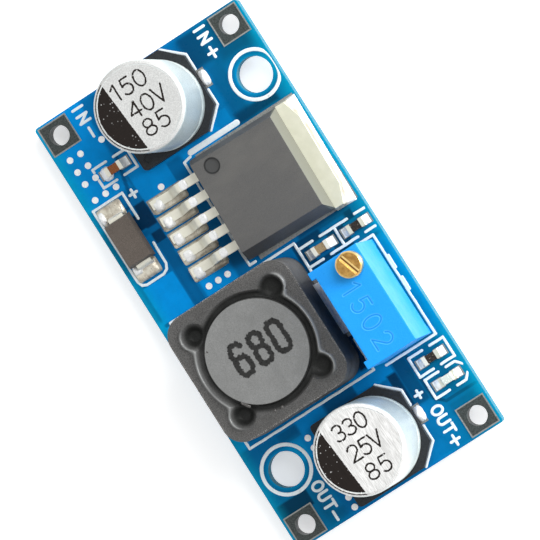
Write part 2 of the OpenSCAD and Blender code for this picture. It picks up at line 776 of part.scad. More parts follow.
// Flat lead that drops through the base plate and turns out along the land, on side s
module capacitor_lead_form(s) {
    z = cap_lead_t / 2;
    b = cap_lead_bend;
    path = concat([[cap_lead_y, can_z]], arc([cap_lead_y + b, z + b], b, 180, 270),
        [[cap_lead_tip, z]]);
    rotate(s > 0 ? 0 : 180) across_x(cap_lead_w) polygon(strip(path, cap_lead_t));
}

module capacitor_lead(p, s) {
    color("#cfd1cf") at_capacitor(p) capacitor_lead_form(s);
}

// ---- Inductor ----

module at_inductor() {
    translate([inductor_x, inductor_y, seat_z]) children();
}

// Opening in the shield: a round bore with a rounded pocket at each corner
module shield_opening() {
    circle(d = shield_bore_d);
    for (x = [-1, 1], y = [-1, 1]) translate([x * pocket_at, y * pocket_at]) circle(pocket_r);
}

module inductor_shield() {
    color("#5c5b5a") at_inductor() difference() {
        translate([0, 0, inductor_core_z]) linear_extrude(drum_h) difference() {
            rounded_square(shield_w, shield_w, shield_corner_r);
            shield_opening();
        }
        for (s = [-1, 1]) coil_terminal_recess(s);
    }
}

// Bobbin core: two flanges on a waist
module inductor_drum() {
    color("#8a8d8d") at_inductor() translate([0, 0, inductor_core_z]) {
        cylinder(h = drum_h, d = drum_waist_d);
        for (z = [0, drum_h - drum_flange_t])
            translate([0, 0, z]) cylinder(h = drum_flange_t, d = drum_d);
    }
}

// Round wire wound in layers on the waist, closed into one ring with ribs for the outer turns
module inductor_winding() {
    pitch = winding_h / winding_turns;
    color("#b8713a") at_inductor() translate([0, 0, inductor_core_z + drum_flange_t])
        rotate_extrude() {
            translate([drum_waist_d / 2, 0]) square([winding_r - drum_waist_d / 2, winding_h]);
            for (i = [0:winding_turns - 1])
                translate([winding_r, (i + 0.5) * pitch]) circle(d = pitch);
        }
}

module inductor_glue() {
    color("#3f3e3d") at_inductor()
        translate([0, 0, inductor_h - glue_sink - glue_depth]) linear_extrude(glue_depth)
            difference() {
                shield_opening();
                circle(d = drum_d);
            }
}

module inductor_base() {
    color("#2b2b2b") at_inductor() difference() {
        translate([0, 0, inductor_foot_z]) linear_extrude(inductor_base_t)
            rounded_square(shield_w, shield_w, shield_corner_r);
        for (s = [-1, 1]) coil_terminal_recess(s);
    }
}

// Recess in the cores' and base's side for a terminal's leg and bend, on side s
module coil_terminal_recess(s) {
    t = coil_terminal_t;
    outer = shield_w / 2 + over;
    inner = shield_w / 2 - t;
    foot = inductor_foot_z;
    rotate(s > 0 ? 0 : 180) across_x(coil_terminal_w) polygon([[outer, foot - over],
        [outer, coil_terminal_h], [inner, coil_terminal_h], [inner, foot + t / 2],
        [inner - t / 2, foot], [inner - t / 2, foot - over]]);
}

// Folded strip: a foot under the base and an upright leg let into the side, on side s
module coil_terminal_form(s) {
    t = coil_terminal_t;
    y = shield_w / 2 - t / 2;
    path = concat([[y, coil_terminal_h]], arc([y - t, t / 2 + t], t, 0, -90, 4),
        [[shield_w / 2 - coil_foot_l, t / 2]]);
    rotate(s > 0 ? 0 : 180) across_x(coil_terminal_w) polygon(strip(path, t));
}

module inductor_terminal(s) {
    color("#cfd1cf") at_inductor() coil_terminal_form(s);
}

// ---- Regulator ----

module at_regulator() {
    translate([reg_x, reg_y, seat_z]) rotate(reg_turn) children();
}

// Moulded block, upright to the joint line and sloped in above it, with a round mark
module regulator_body() {
    w = reg_w / 2;
    l = reg_l / 2;
    color("#4a4b4b") at_regulator() difference() {
        intersection() {
            across_y(reg_l) polygon([[-w, 0], [w, 0], [w, reg_part_z],
                [w - reg_side_draft, reg_h], [reg_side_draft - w, reg_h], [-w, reg_part_z]]);
            across_x(reg_w) polygon([[-l, 0], [l, 0], [l, reg_part_z],
                [l - reg_end_draft, reg_h], [reg_end_draft - l, reg_h], [-l, reg_part_z]]);
        }
        translate([reg_dimple_at[0], reg_dimple_at[1], reg_dimple_z])
            cylinder(h = reg_h, d = reg_dimple_d);
        regulator_tab_form();
        for (i = [-2, -1, 1, 2]) regulator_lead_form(i);
    }
}

// Heat spreader with cut outer corners, and the middle lead that is one piece with it
module regulator_tab_form() {
    w = reg_tab_w / 2;
    d = reg_w / 2 - reg_tab_inset[0];
    y = reg_l / 2;
    c = reg_tab_chamfer;
    linear_extrude(reg_tab_t) polygon([[-d, reg_tab_inset[1] - y], [d, reg_tab_inset[1] - y],
        [d, y], [w, y],
        [w, y + reg_tab_out - c[1]], [w - c[0], y + reg_tab_out], [c[0] - w, y + reg_tab_out],
        [-w, y + reg_tab_out - c[1]], [-w, y], [-d, y]]);
    regulator_lead_form(0);
    rise = [[reg_lead_in - y, reg_lead_mid_z], [reg_lead_in + reg_tab_rise_l - y, reg_tab_t / 2]];
    across_x(reg_lead_w) polygon(strip(rise, reg_lead_t));
}

// Gull-wing lead number i, counted from the middle
module regulator_lead_form(i) {
    y = -reg_l / 2;
    path = gull(y + reg_lead_in, y - reg_lead_shoulder, reg_lead_mid_z, reg_lead_t / 2,
        reg_lead_bend, reg_lead_angle, reg_tip_y);
    translate([i * reg_lead_pitch, 0, 0]) across_x(reg_lead_w) polygon(strip(path, reg_lead_t));
}

module regulator_tab() {
    color("#d8d5c6") at_regulator() regulator_tab_form();
}

module regulator_lead(i) {
    color("#d8d5c6") at_regulator() regulator_lead_form(i);
}

// ---- Trimmer ----

module at_trimmer() {
    translate([trimmer_corner[0], trimmer_corner[1], board_t]) children();
}

// Closed box on two feet, with a rib at each end of its back, a bore for the screw's shank,
// a bearing for the screw's lower end and a pivot for the wheel
module trimmer_housing() {
    t = trimmer_wall;
    color("#23a0f5") at_trimmer() difference() {
        union() {
            difference() {
                union() {
                    translate([0, trimmer_rib, trimmer_foot_h])
                        cube([trimmer_w, trimmer_d - trimmer_rib, trimmer_h - trimmer_foot_h]);
                    for (x = [0, trimmer_w - trimmer_rib_w]) translate([x, 0, 0])
                        cube([trimmer_rib_w, trimmer_rib + over, trimmer_h]);
                    for (x = [0, trimmer_w - trimmer_rib_w]) translate([x, trimmer_rib, 0])
                        cube([trimmer_rib_w, trimmer_d - trimmer_rib, trimmer_foot_h + over]);
                }
                translate([t, cavity_back, -over])
                    cube([trimmer_w - 2 * t, cavity_front - cavity_back, cavity_top + over]);
            }
            translate([t - over, screw_y - bearing_w / 2, seal_top])
                cube([bearing_w, cavity_front - screw_y + bearing_w / 2 + over, bearing_h]);
            translate([wheel_x, wheel_back, wheel_z]) rotate([-90, 0, 0])
                cylinder(h = cavity_front - wheel_back + over, d = wheel_pivot_d);
        }
        translate([screw_inset, screw_y, 0])
            cylinder(h = trimmer_h, d = screw_pivot_d + 2 * running_gap);
        translate([screw_inset, screw_y, cavity_top - over])
            cylinder(h = trimmer_top_t + 2 * over, d = shank_bore_d);
    }
}

module trimmer_seal() {
    t = trimmer_wall;
    color("#2f8fd6") at_trimmer() difference() {
        translate([t, cavity_back, trimmer_foot_h])
            cube([trimmer_w - 2 * t, cavity_front - cavity_back, trimmer_seal_t]);
        for (i = [-1:1]) translate([trimmer_w / 2 + i * pin_pitch, pin_y, 0])
            cylinder(h = trimmer_h / 2, d = pin_d);
    }
}

// Slotted head, shank with a ring groove, worm and lower pivot, turned in one piece
module trimmer_screw() {
    head_z = trimmer_h + running_gap;
    r = screw_head_d / 2;
    groove = (o_ring_cord + o_ring_play) / 2;
    color("#c9a44a") at_trimmer() translate([screw_inset, screw_y, 0]) difference() {
        rotate_extrude() polygon([
            [0, seal_top + running_gap], [screw_pivot_d / 2, seal_top + running_gap],
            [screw_pivot_d / 2, bearing_top + running_gap], [worm_d / 2, bearing_top + running_gap],
            [worm_d / 2, worm_top], [screw_shank_d / 2, worm_top],
            [screw_shank_d / 2, o_ring_z - groove], [shank_groove_d / 2, o_ring_z - groove],
            [shank_groove_d / 2, o_ring_z + groove], [screw_shank_d / 2, o_ring_z + groove],
            [screw_shank_d / 2, head_z], [r - screw_chamfer, head_z], [r, head_z + screw_chamfer],
            [r, screw_top - screw_chamfer], [r - screw_chamfer, screw_top], [0, screw_top]]);
        translate([0, 0, screw_top]) rotate(screw_slot_turn)
            cube([2 * screw_head_d, screw_slot_w, 2 * screw_slot_depth], center = true);
    }
}

module trimmer_o_ring() {
    color("#1c1c1c") at_trimmer() translate([screw_inset, screw_y, o_ring_z])
        rotate_extrude() translate([o_ring_r, 0]) circle(d = o_ring_cord, $fn = 24);
}

// Children in the wheel's frame: its axis becomes the local Z, which points to the front
module at_wheel(y) {
    at_trimmer() translate([wheel_x, y, wheel_z]) rotate([-90, 0, 0]) children();
}

// Toothed wheel: each tooth is a trapezium between the root circle and the tip circle
module trimmer_wheel() {
    root = wheel_tip_r - tooth_depth;
    step = 360 / wheel_teeth;
    outline = [for (i = [0:wheel_teeth - 1], k = [[-tooth_root, root], [-tooth_tip, wheel_tip_r],
        [tooth_tip, wheel_tip_r], [tooth_root, root]])
        k[1] * [cos((i + k[0]) * step), sin((i + k[0]) * step)]];
    color("#efe9d8") at_wheel(wheel_back) difference() {
        union() {
            linear_extrude(wheel_t) polygon(outline);
            translate([0, 0, wheel_t]) cylinder(h = cavity_front - wheel_back - wheel_t
                - running_gap, d = wheel_hub_d);
        }
        translate([0, 0, -over]) cylinder(h = trimmer_d, d = wheel_bore_d);
    }
}

// Spring plate on the wheel's back, with a contact for the track and one for the collector
module trimmer_wiper() {
    reach = wheel_back - wiper_t - track_face - running_gap;
    color("#d9b45b") at_wheel(wheel_back - wiper_t) {
        linear_extrude(wiper_t) difference() {
            union() {
                circle(wheel_bore_d / 2 + wiper_ring_w);
                translate([-contact_d, -track_r - contact_d])
                    square([2 * contact_d, track_r + contact_d]);
            }
            circle(d = wheel_bore_d);
        }
        for (r = [collector_r, track_r])
            translate([0, -r, -reach]) cylinder(h = reach, d = contact_d);
    }
}

module trimmer_element() {
    color("#f0efe9") at_trimmer()
        translate([trimmer_wall + element_margin, cavity_back, seal_top])
            cube([element_w, element_t, cavity_top - seal_top]);
}

// Resistive arc open towards the pins, round a closed collector ring
module trimmer_track() {
    gap = arc([0, 0], 2 * track_r, 90 - track_gap_angle / 2, 90 + track_gap_angle / 2, 1);
    color("#2a2a2a") at_wheel(element_y) linear_extrude(track_t) {
        difference() {
            circle(track_r + track_w / 2);
            circle(track_r - track_w / 2);
            polygon(concat([[0, 0]], gap));
        }
        difference() {
            circle(collector_r + collector_w / 2);
            circle(collector_r - collector_w / 2);
        }
    }
}

module trimmer_pin(i) {
    top = seal_top + pin_foot_l;
    color("#cfd1cf") at_trimmer()
        translate([trimmer_w / 2 + i * pin_pitch, pin_y, -board_t - pin_out])
            cylinder(h = board_t + pin_out + top, d = pin_d);
}

// ---- Diode ----

module at_diode() {
    translate([diode_x, diode_y, seat_z]) children();
}

// Moulded block that slopes in above and below its joint line
module diode_body() {
    l = diode_l / 2;
    w = diode_w / 2;
    d = diode_draft;
    z = diode_lead_t / 2;
    color("#3a3836") at_diode() difference() {
        intersection() {
            across_y(diode_w) polygon([[d - l, z], [l - d, z], [l, diode_part_z],
                [l - d, diode_h], [d - l, diode_h], [-l, diode_part_z]]);
            across_x(diode_l) polygon([[d - w, z], [w - d, z], [w, diode_part_z],
                [w - d, diode_h], [d - w, diode_h], [-w, diode_part_z]]);
        }
        for (s = [-1, 1]) diode_lead_form(s);
    }
}

// Folded lead: out of the body, down its end and back under it, on side s
module diode_lead_form(s) {
    t = diode_lead_t;
    b = diode_lead_bend;
    x = diode_lead_reach;
    path = concat([[diode_l / 2 - diode_lead_in, diode_part_z]],
        arc([x - b, diode_part_z - b], b, 90, 0, 4),
        arc([x - b, t / 2 + b], b, 0, -90, 4), [[x - b - diode_foot_l, t / 2]]);
    rotate(s > 0 ? 0 : 180) across_y(diode_lead_w) polygon(strip(path, t));
}

module diode_lead(s) {
    color("#cfd1cf") at_diode() diode_lead_form(s);
}

// ---- Chips ----

module at_chip(p) {
    translate([p[0], p[1], seat_z]) children();
}

// Ceramic block inside the metal ends
module chip_core(h) {
    translate([-chip_core_w / 2, -chip_core_l / 2, chip_end_t])
        cube([chip_core_w, chip_core_l, h - 2 * chip_end_t]);
}

module chip_body(p, h, tint) {
    color(tint) at_chip(p) chip_core(h);
}

// Metal cap over each end of the block
module chip_ends(p, h) {
    color("#dcdcd6") at_chip(p) for (s = [0, 1]) rotate(s * 180) difference() {
        translate([-chip_w / 2, -chip_l / 2, 0]) cube([chip_w, chip_end_l, h]);
        chip_core(h);
    }
}

// Carrier plate of the lamp with its two contact ends
module lamp_base() {
    color("#e9e6d2") at_chip(lamp_at) chip_core(lamp_base_h);
}

// Clear block moulded on the carrier, sloped at both ends
module lamp_lens() {
    l = lamp_lens_l / 2;
    n = chip_l / 2 - chip_end_l;
    z = lamp_base_h - chip_end_t;
    color("#e8f2e6") at_chip(lamp_at) across_x(chip_core_w)
        polygon([[-n, z], [n, z], [n, lamp_base_h], [l, lamp_base_h],
            [l - lamp_lens_draft, lamp_h], [lamp_lens_draft - l, lamp_h],
            [-l, lamp_base_h], [-n, lamp_base_h]]);
}

board();
terminal(-1, 1);  // terminal_in_plus
terminal(-1, -1);  // terminal_in_minus
terminal(1, 1);  // terminal_out_plus
terminal(1, -1);  // terminal_out_minus
solder_lands();
solder_joints();
via_plugs();
printed_outlines();
capacitor_can(input_cap_at);  // input_capacitor_can
capacitor_base(input_cap_at);  // input_capacitor_base
capacitor_lead(input_cap_at, -1);  // input_capacitor_lead_minus
capacitor_lead(input_cap_at, 1);  // input_capacitor_lead_plus
capacitor_can(output_cap_at);  // output_capacitor_can
capacitor_base(output_cap_at);  // output_capacitor_base
capacitor_lead(output_cap_at, -1);  // output_capacitor_lead_minus
capacitor_lead(output_cap_at, 1);  // output_capacitor_lead_plus
inductor_shield();
inductor_drum();
inductor_winding();
inductor_glue();
inductor_base();
inductor_terminal(-1);  // inductor_terminal_front
inductor_terminal(1);  // inductor_terminal_rear
regulator_body();
regulator_tab();
regulator_lead(-2);  // regulator_lead_1
regulator_lead(-1);  // regulator_lead_2
regulator_lead(1);  // regulator_lead_4
regulator_lead(2);  // regulator_lead_5
trimmer_housing();
trimmer_seal();
trimmer_screw();
trimmer_o_ring();
trimmer_wheel();
trimmer_wiper();
trimmer_element();
trimmer_track();
trimmer_pin(-1);  // trimmer_pin_1
trimmer_pin(0);  // trimmer_pin_2
trimmer_pin(1);  // trimmer_pin_3
diode_body();
diode_lead(1);  // diode_lead_cathode
diode_lead(-1);  // diode_lead_anode
chip_body(divider_resistor_at, chip_resistor_h, "#23211f");  // divider_resistor_body
chip_ends(divider_resistor_at, chip_resistor_h);  // divider_resistor_ends
chip_body(divider_capacitor_at, chip_capacitor_h, "#b89468");  // divider_capacitor_body
chip_ends(divider_capacitor_at, chip_capacitor_h);  // divider_capacitor_ends
chip_body(input_filter_at, chip_capacitor_h, "#b0643a");  // input_filter_capacitor_body
chip_ends(input_filter_at, chip_capacitor_h);  // input_filter_capacitor_ends
chip_body(lamp_resistor_at, chip_resistor_h, "#23211f");  // lamp_resistor_body
chip_ends(lamp_resistor_at, chip_resistor_h);  // lamp_resistor_ends
lamp_lens();
lamp_base();
chip_ends(lamp_at, lamp_base_h);  // lamp_ends
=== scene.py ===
"""Looks of the adjustable step-down converter module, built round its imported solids.

Frame: X runs from the input end to the output end, Y from the minus side to the plus side, and Z up
from the underside of the board. Sizes in this file are in millimetres until a mesh is made.
"""

import json

import bpy
import numpy as np
from mathutils import Matrix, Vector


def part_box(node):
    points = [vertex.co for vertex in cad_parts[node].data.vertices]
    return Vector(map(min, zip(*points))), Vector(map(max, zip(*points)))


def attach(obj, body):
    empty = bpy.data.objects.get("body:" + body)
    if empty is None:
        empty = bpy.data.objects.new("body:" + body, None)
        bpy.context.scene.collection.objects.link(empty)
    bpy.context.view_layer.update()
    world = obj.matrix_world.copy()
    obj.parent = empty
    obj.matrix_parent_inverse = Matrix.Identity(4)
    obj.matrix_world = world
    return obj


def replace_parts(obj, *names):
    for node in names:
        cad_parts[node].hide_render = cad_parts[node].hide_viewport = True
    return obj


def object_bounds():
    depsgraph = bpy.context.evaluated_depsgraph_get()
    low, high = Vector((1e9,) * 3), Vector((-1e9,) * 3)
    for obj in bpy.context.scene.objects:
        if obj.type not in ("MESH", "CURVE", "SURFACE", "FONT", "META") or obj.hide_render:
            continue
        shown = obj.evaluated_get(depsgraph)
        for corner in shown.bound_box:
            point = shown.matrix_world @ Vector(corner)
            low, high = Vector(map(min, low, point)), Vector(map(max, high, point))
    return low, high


MM = 0.001

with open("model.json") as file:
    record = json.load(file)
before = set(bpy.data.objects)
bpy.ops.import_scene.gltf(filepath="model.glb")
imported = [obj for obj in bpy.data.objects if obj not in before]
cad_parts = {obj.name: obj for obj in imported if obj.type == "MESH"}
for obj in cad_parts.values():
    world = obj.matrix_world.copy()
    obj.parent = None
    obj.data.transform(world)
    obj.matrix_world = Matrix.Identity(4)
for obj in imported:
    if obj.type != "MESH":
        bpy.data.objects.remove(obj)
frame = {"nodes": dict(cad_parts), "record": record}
CAD_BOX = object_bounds()


# ---- Places taken from the solids ----


def ends(node):
    """Lowest and highest corner of a solid, in mm."""
    low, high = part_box(node)
    return np.array(low) / MM, np.array(high) / MM


def middle(*nodes):
    """Middle of the box round some solids, in mm."""
    low = np.min([ends(n)[0] for n in nodes], axis=0)
    high = np.max([ends(n)[1] for n in nodes], axis=0)
    return (low + high) / 2


BOARD_HIGH = ends("board")[1]
BOARD_T = BOARD_HIGH[2]
HALF_L = BOARD_HIGH[0]
HALF_W = BOARD_HIGH[1]
CORNER_R = 0.3
INK_BASE = BOARD_T + 0.005
LAND_TOP = BOARD_T + 0.05

TERMINALS = [middle("terminal_" + n)[:2] for n in ("in_plus", "in_minus", "out_plus", "out_minus")]
MOUNT_HOLES = [np.array([-15.15, 8.45]), np.array([15.1, -7.72])]
MOUNT_R = 1.6
MOUNT_RING_R = 1.8

INPUT_CAN = middle("input_capacitor_can")
OUTPUT_CAN = middle("output_capacitor_can")
CAN_TOP = ends("input_capacitor_can")[1][2]
CAN_EDGE_R = 0.4
CAN_FACE_R = 3.6

DRUM = middle("inductor_drum")
DRUM_TOP = ends("inductor_drum")[1][2]
DRUM_R = 4.52
SHIELD_HALF = 6.125
BORE_R = 5.3
POCKET_AT = 3.95
POCKET_R = 1.15

TRIMMER_LOW, TRIMMER_HIGH = ends("trimmer_housing")
SCREW = middle("trimmer_screw")
SLOT_TURN = np.radians(18)
SCREW_TOP = float(ends("trimmer_screw")[1][2])
REG_TURN = -1.5
REG_LEAD_TOP = float(ends("regulator_lead_1")[1][2])
REG_AT = np.array([-6.74, 4.05])
REG_END = 4.05
TAB_HALF = 5.08
TAB_END = 5.8
TAB_CUT = (1.7, 0.6)
DIMPLE = (-10.2, 1.72)


# ---- Surfaces ----


def grid_faces(rows, columns, wrap=False):
    """Four-sided faces between neighbours of points stored row by row; wrap joins the last column to the first."""
    first = np.arange(rows - 1)[:, None] * columns
    j = np.arange(columns if wrap else columns - 1)[None, :]
    k = (j + 1) % columns
    return np.stack([first + j, first + k, first + columns + k, first + columns + j], -1).reshape(-1, 4)


def keep_faces(points, faces, kept):
    """Points and faces that are left when every face with a dropped corner goes."""
    faces = faces[kept[faces].all(axis=1)]
    used = np.unique(faces)
    number = np.full(len(points), -1)
    number[used] = np.arange(len(used))
    return points[used], number[faces], used


def joined(parts):
    """One (points, faces) pair from many, with the later faces renumbered."""
    starts = np.cumsum([0] + [len(p) for p, _ in parts[:-1]])
    return np.concatenate([p for p, _ in parts]), np.concatenate([f + s for (_, f), s in zip(parts, starts)])


def piece(name, points, faces, finish, slot, body="module", fields=None):
    """A mesh piece from points in mm and four-sided faces, riding on a body, with its number fields as attributes."""
    mesh = bpy.data.meshes.new(name)
    mesh.vertices.add(len(points))
    mesh.vertices.foreach_set("co", (np.asarray(points, float) * MM).ravel())
    mesh.loops.add(faces.size)
    mesh.loops.foreach_set("vertex_index", faces.ravel().astype(np.int32))
    mesh.polygons.add(len(faces))
    mesh.polygons.foreach_set("loop_start", np.arange(0, faces.size, faces.shape[1], dtype=np.int32))
    mesh.polygons.foreach_set("loop_total", np.full(len(faces), faces.shape[1], np.int32))
    mesh.polygons.foreach_set("use_smooth", np.ones(len(faces), bool))
    mesh.update(calc_edges=True)
    for field, values in (fields or {}).items():
        mesh.attributes.new(field, "FLOAT", "POINT").data.foreach_set("value", np.asarray(values, np.float32))
    mesh.materials.append(finish)
    made = bpy.data.objects.new(name, mesh)
    bpy.context.scene.collection.objects.link(made)
    if body:
        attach(made, body)
    return made


def smooth_step(value, low, high):
    """0 below low, 1 above high, and 3t^2 - 2t^3 between them."""
    t = np.clip((value - low) / (high - low), 0, 1)
    return t * t * (3 - 2 * t)


def box_distance(x, y, area):
    """Distance outside a rectangle (x0, y0, x1, y1), less than zero inside it."""
    x0, y0, x1, y1 = area
    dx = np.abs(x - (x0 + x1) / 2) - (x1 - x0) / 2
    dy = np.abs(y - (y0 + y1) / 2) - (y1 - y0) / 2
    outside = np.hypot(np.maximum(dx, 0), np.maximum(dy, 0))
    return outside + np.minimum(np.maximum(dx, dy), 0)


def run_distance(x, y, runs):
    """Distance from points to the nearest stroke of some pen runs."""
    best = np.full(np.shape(x), 9.0)
    for run in runs:
        for a, b in zip(run[:-1], run[1:]):
            d = b - a
            t = np.clip(((x - a[0]) * d[0] + (y - a[1]) * d[1]) / (d @ d), 0, 1)
            best = np.minimum(best, np.hypot(x - a[0] - t * d[0], y - a[1] - t * d[1]))
    return best


def rolling(x, y, size, seed):
    """Slow random swell between about -1 and 1: a sum of sines of seeded directions and phases."""
    rng = np.random.default_rng(seed)
    total = 0
    for _ in range(7):
        a, phase = rng.uniform(0, 2 * np.pi, 2)
        k = 2 * np.pi / (size * rng.uniform(0.7, 1.6))
        total = total + np.sin(k * (x * np.cos(a) + y * np.sin(a)) + phase)
    return total / 4


# ---- Pen strokes for words and numbers ----


def bow(cx, cy, rx, ry, start, end, steps=15):
    """Points of an elliptical bow: its centre plus its half widths times the cosine and sine of the angle."""
    a = np.radians(np.linspace(start, end, steps))
    return np.stack([cx + rx * np.cos(a), cy + ry * np.sin(a)], -1)


def line(*points):
    """A straight-sided pen run through the points."""
    return np.array(points, float)


# Each sign: its width for a height of 1, and its pen runs
SIGNS = {
    "0": (0.6, [bow(0.3, 0.5, 0.29, 0.5, 90, 450, 29)]),
    "1": (0.42, [line((0.04, 0.76), (0.3, 1)), line((0.3, 1), (0.3, 0))]),
    "2": (0.6, [bow(0.3, 0.71, 0.28, 0.29, 165, -38), line((0.52, 0.53), (0.02, 0)), line((0.02, 0), (0.62, 0))]),
    "3": (0.58, [bow(0.28, 0.75, 0.26, 0.25, 150, -90), bow(0.28, 0.26, 0.29, 0.26, 90, -150)]),
    "4": (0.62, [line((0.46, 0), (0.46, 1)), line((0.46, 1), (0, 0.3)), line((0, 0.3), (0.62, 0.3))]),
    "5": (0.58, [line((0.54, 1), (0.12, 1)), line((0.12, 1), (0.07, 0.56)), bow(0.28, 0.32, 0.29, 0.32, 125, -145)]),
    "8": (0.58, [bow(0.29, 0.75, 0.24, 0.25, 90, 450, 21), bow(0.29, 0.26, 0.29, 0.26, 90, 450, 23)]),
    "I": (0.14, [line((0.07, 0), (0.07, 1))]),
    "N": (0.62, [line((0.02, 0), (0.02, 1)), line((0.02, 1), (0.6, 0)), line((0.6, 0), (0.6, 1))]),
    "O": (0.72, [bow(0.36, 0.5, 0.35, 0.5, 90, 450, 29)]),
    "U": (0.62, [line((0.02, 1), (0.02, 0.3)), bow(0.31, 0.3, 0.29, 0.3, 180, 360), line((0.6, 0.3), (0.6, 1))]),
    "T": (0.64, [line((0, 1), (0.64, 1)), line((0.32, 1), (0.32, 0))]),
    "V": (0.62, [line((0, 1), (0.31, 0)), line((0.31, 0), (0.62, 1))]),
    "+": (0.84, [line((0.0, 0.44), (0.84, 0.44)), line((0.42, 0.02), (0.42, 0.86))]),
    "-": (0.76, [line((0.0, 0.44), (0.76, 0.44))]),
}


# Stamped numbers of the inductor: straight-sided, with cut corners
STAMPED = {
    "0": (0.6, [line((0.14, 0), (0.01, 0.14), (0.01, 0.86), (0.14, 1), (0.46, 1), (0.59, 0.86), (0.59, 0.14),
                     (0.46, 0), (0.14, 0))]),
    "6": (0.6, [line((0.57, 0.88), (0.46, 1), (0.15, 1), (0.01, 0.84), (0.01, 0.14), (0.14, 0), (0.46, 0),
                     (0.59, 0.14), (0.59, 0.44), (0.46, 0.57), (0.14, 0.57), (0.01, 0.46))]),
    "8": (0.6, [line((0.15, 0.54), (0.03, 0.66), (0.03, 0.88), (0.15, 1), (0.45, 1), (0.57, 0.88), (0.57, 0.66),
                     (0.45, 0.54), (0.15, 0.54), (0.01, 0.42), (0.01, 0.12), (0.14, 0), (0.46, 0), (0.59, 0.12),
                     (0.59, 0.42), (0.45, 0.54))]),
}


def written(text, start, end, height, up, wide=1.0, signs=SIGNS):
    """Pen runs of a line of signs: read from start towards end and spread to fill that length, with its tops
    towards up. Each sign is as wide as its own width times height times wide."""
    start, end, up = (np.array(v, float) for v in (start, end, up))
    along = (end - start) / np.linalg.norm(end - start)
    widths = [signs[c][0] * height * wide for c in text]
    gap = (np.linalg.norm(end - start) - sum(widths)) / max(len(text) - 1, 1)
    runs, place = [], 0.0
    for c, w in zip(text, widths):
        runs += [start + np.outer(run[:, 0] * height * wide + place, along) + np.outer(run[:, 1] * height, up)
                 for run in signs[c][1]]
        place += w + gap
    return runs


def ribbon(run, width, height, base):
    """A bead of ink along a pen run: its half width shrinks as a circle past each end, and its height over the
    base is a flattened arch across it."""
    half = width / 2
    ahead = np.gradient(run, axis=0)
    ahead /= np.linalg.norm(ahead, axis=1)[:, None]
    a = np.radians(np.linspace(8, 82, 5))
    cap = np.stack([np.cos(a), np.sin(a)], -1) * half
    first = run[0] - np.outer(cap[:, 0], ahead[0])
    last = run[-1] + np.outer(cap[::-1, 0], ahead[-1])
    spine = np.concatenate([first, run, last])
    side = np.concatenate([np.repeat(ahead[:1], 5, 0), ahead, np.repeat(ahead[-1:], 5, 0)])
    side = np.stack([-side[:, 1], side[:, 0]], -1)
    reach = np.concatenate([cap[:, 1], np.full(len(run), half), cap[::-1, 1]])
    u = np.array([1, 0.86, 0.4, 0, -0.4, -0.86, -1])
    rise = height * np.array([0, 0.75, 0.98, 1, 0.98, 0.75, 0])
    points = np.empty((len(spine), len(u), 3))
    points[..., :2] = spine[:, None] + side[:, None] * (reach[:, None] * u)[..., None]
    points[..., 2] = base + rise[None] * np.minimum(1, 2 * reach / half)[:, None]
    return points.reshape(-1, 3), grid_faces(len(spine), len(u))


def ribbons(runs, width, height, base):
    """One surface of all the pen runs, each a hair higher than the last so that no two faces meet."""
    return joined([ribbon(run, width, height + 0.0003 * i, base) for i, run in enumerate(runs)])


def round_sheet(centre, radius, count, z):
    """A square grid drawn out into a disc: x = u sqrt(1 - v^2 / 2), y = v sqrt(1 - u^2 / 2), for u, v in -1..1."""
    v, u = np.meshgrid(np.linspace(-1, 1, count), np.linspace(-1, 1, count), indexing="ij")
    x = centre[0] + radius * u * np.sqrt(1 - v * v / 2)
    y = centre[1] + radius * v * np.sqrt(1 - u * u / 2)
    return np.stack([x, y, np.full(x.shape, z)], -1).reshape(-1, 3), grid_faces(count, count)


TURN_STEPS = 96


def turned(profile, centre):
    """A profile of (radius, height) points turned about an upright axis; the profile runs so that the outside
    is on its left."""
    a = np.linspace(0, 2 * np.pi, TURN_STEPS, endpoint=False)
    r, z = np.array(profile, float).T
    points = np.stack([centre[0] + r[:, None] * np.cos(a), centre[1] + r[:, None] * np.sin(a),
                       np.repeat(z[:, None], TURN_STEPS, 1)], -1)
    return points.reshape(-1, 3), grid_faces(len(profile), TURN_STEPS, wrap=True)


def bead(centre, half, base, flat, seed, count=17):
    """A drop of solder: a disc-shaped grid raised as height times (1 - r^p)^q, with a slow swell over it."""
    v, u = np.meshgrid(np.linspace(-1, 1, count), np.linspace(-1, 1, count), indexing="ij")
    x = u * np.sqrt(1 - v * v / 2)
    y = v * np.sqrt(1 - u * u / 2)
    r = np.clip(np.hypot(x, y), 0, 1)
    rise = (1 - r ** 2.4) ** flat
    swell = 1 + 0.12 * rolling(x, y, 1.3, seed)
    corner = 1 + 0.16 * (1 - np.abs(np.abs(u) - np.abs(v)))
    px = centre[0] + half[0] * x * corner
    py = centre[1] + half[1] * y * corner
    return np.stack([px, py, base + half[2] * rise * swell], -1).reshape(-1, 3), grid_faces(count, count)


POOL_POINTS = 15


def pool(width, length, height, base, seed):
    """Solder that has run over a land: a rectangle whose height is the square root of (1 - u^6)(1 - v^6), with
    its corners drawn in and a slow swell over it. It is centred on the origin."""
    v, u = np.meshgrid(np.linspace(-1, 1, POOL_POINTS), np.linspace(-1, 1, POOL_POINTS), indexing="ij")
    x = width / 2 * u * (1 - 0.07 * v ** 8)
    y = length / 2 * v * (1 - 0.05 * u ** 8)
    rise = np.sqrt((1 - u ** 6) * (1 - v ** 6)) * (1 + 0.16 * rolling(x, y, 0.9, seed))
    return np.stack([x, y, base + height * rise], -1).reshape(-1, 3), grid_faces(POOL_POINTS, POOL_POINTS)


def spun(points, degrees):
    """Points turned about the upright axis through the origin."""
    c, s = np.cos(np.radians(degrees)), np.sin(np.radians(degrees))
    return points @ np.array([[c, s, 0], [-s, c, 0], [0, 0, 1]])


# ---- Finishes ----


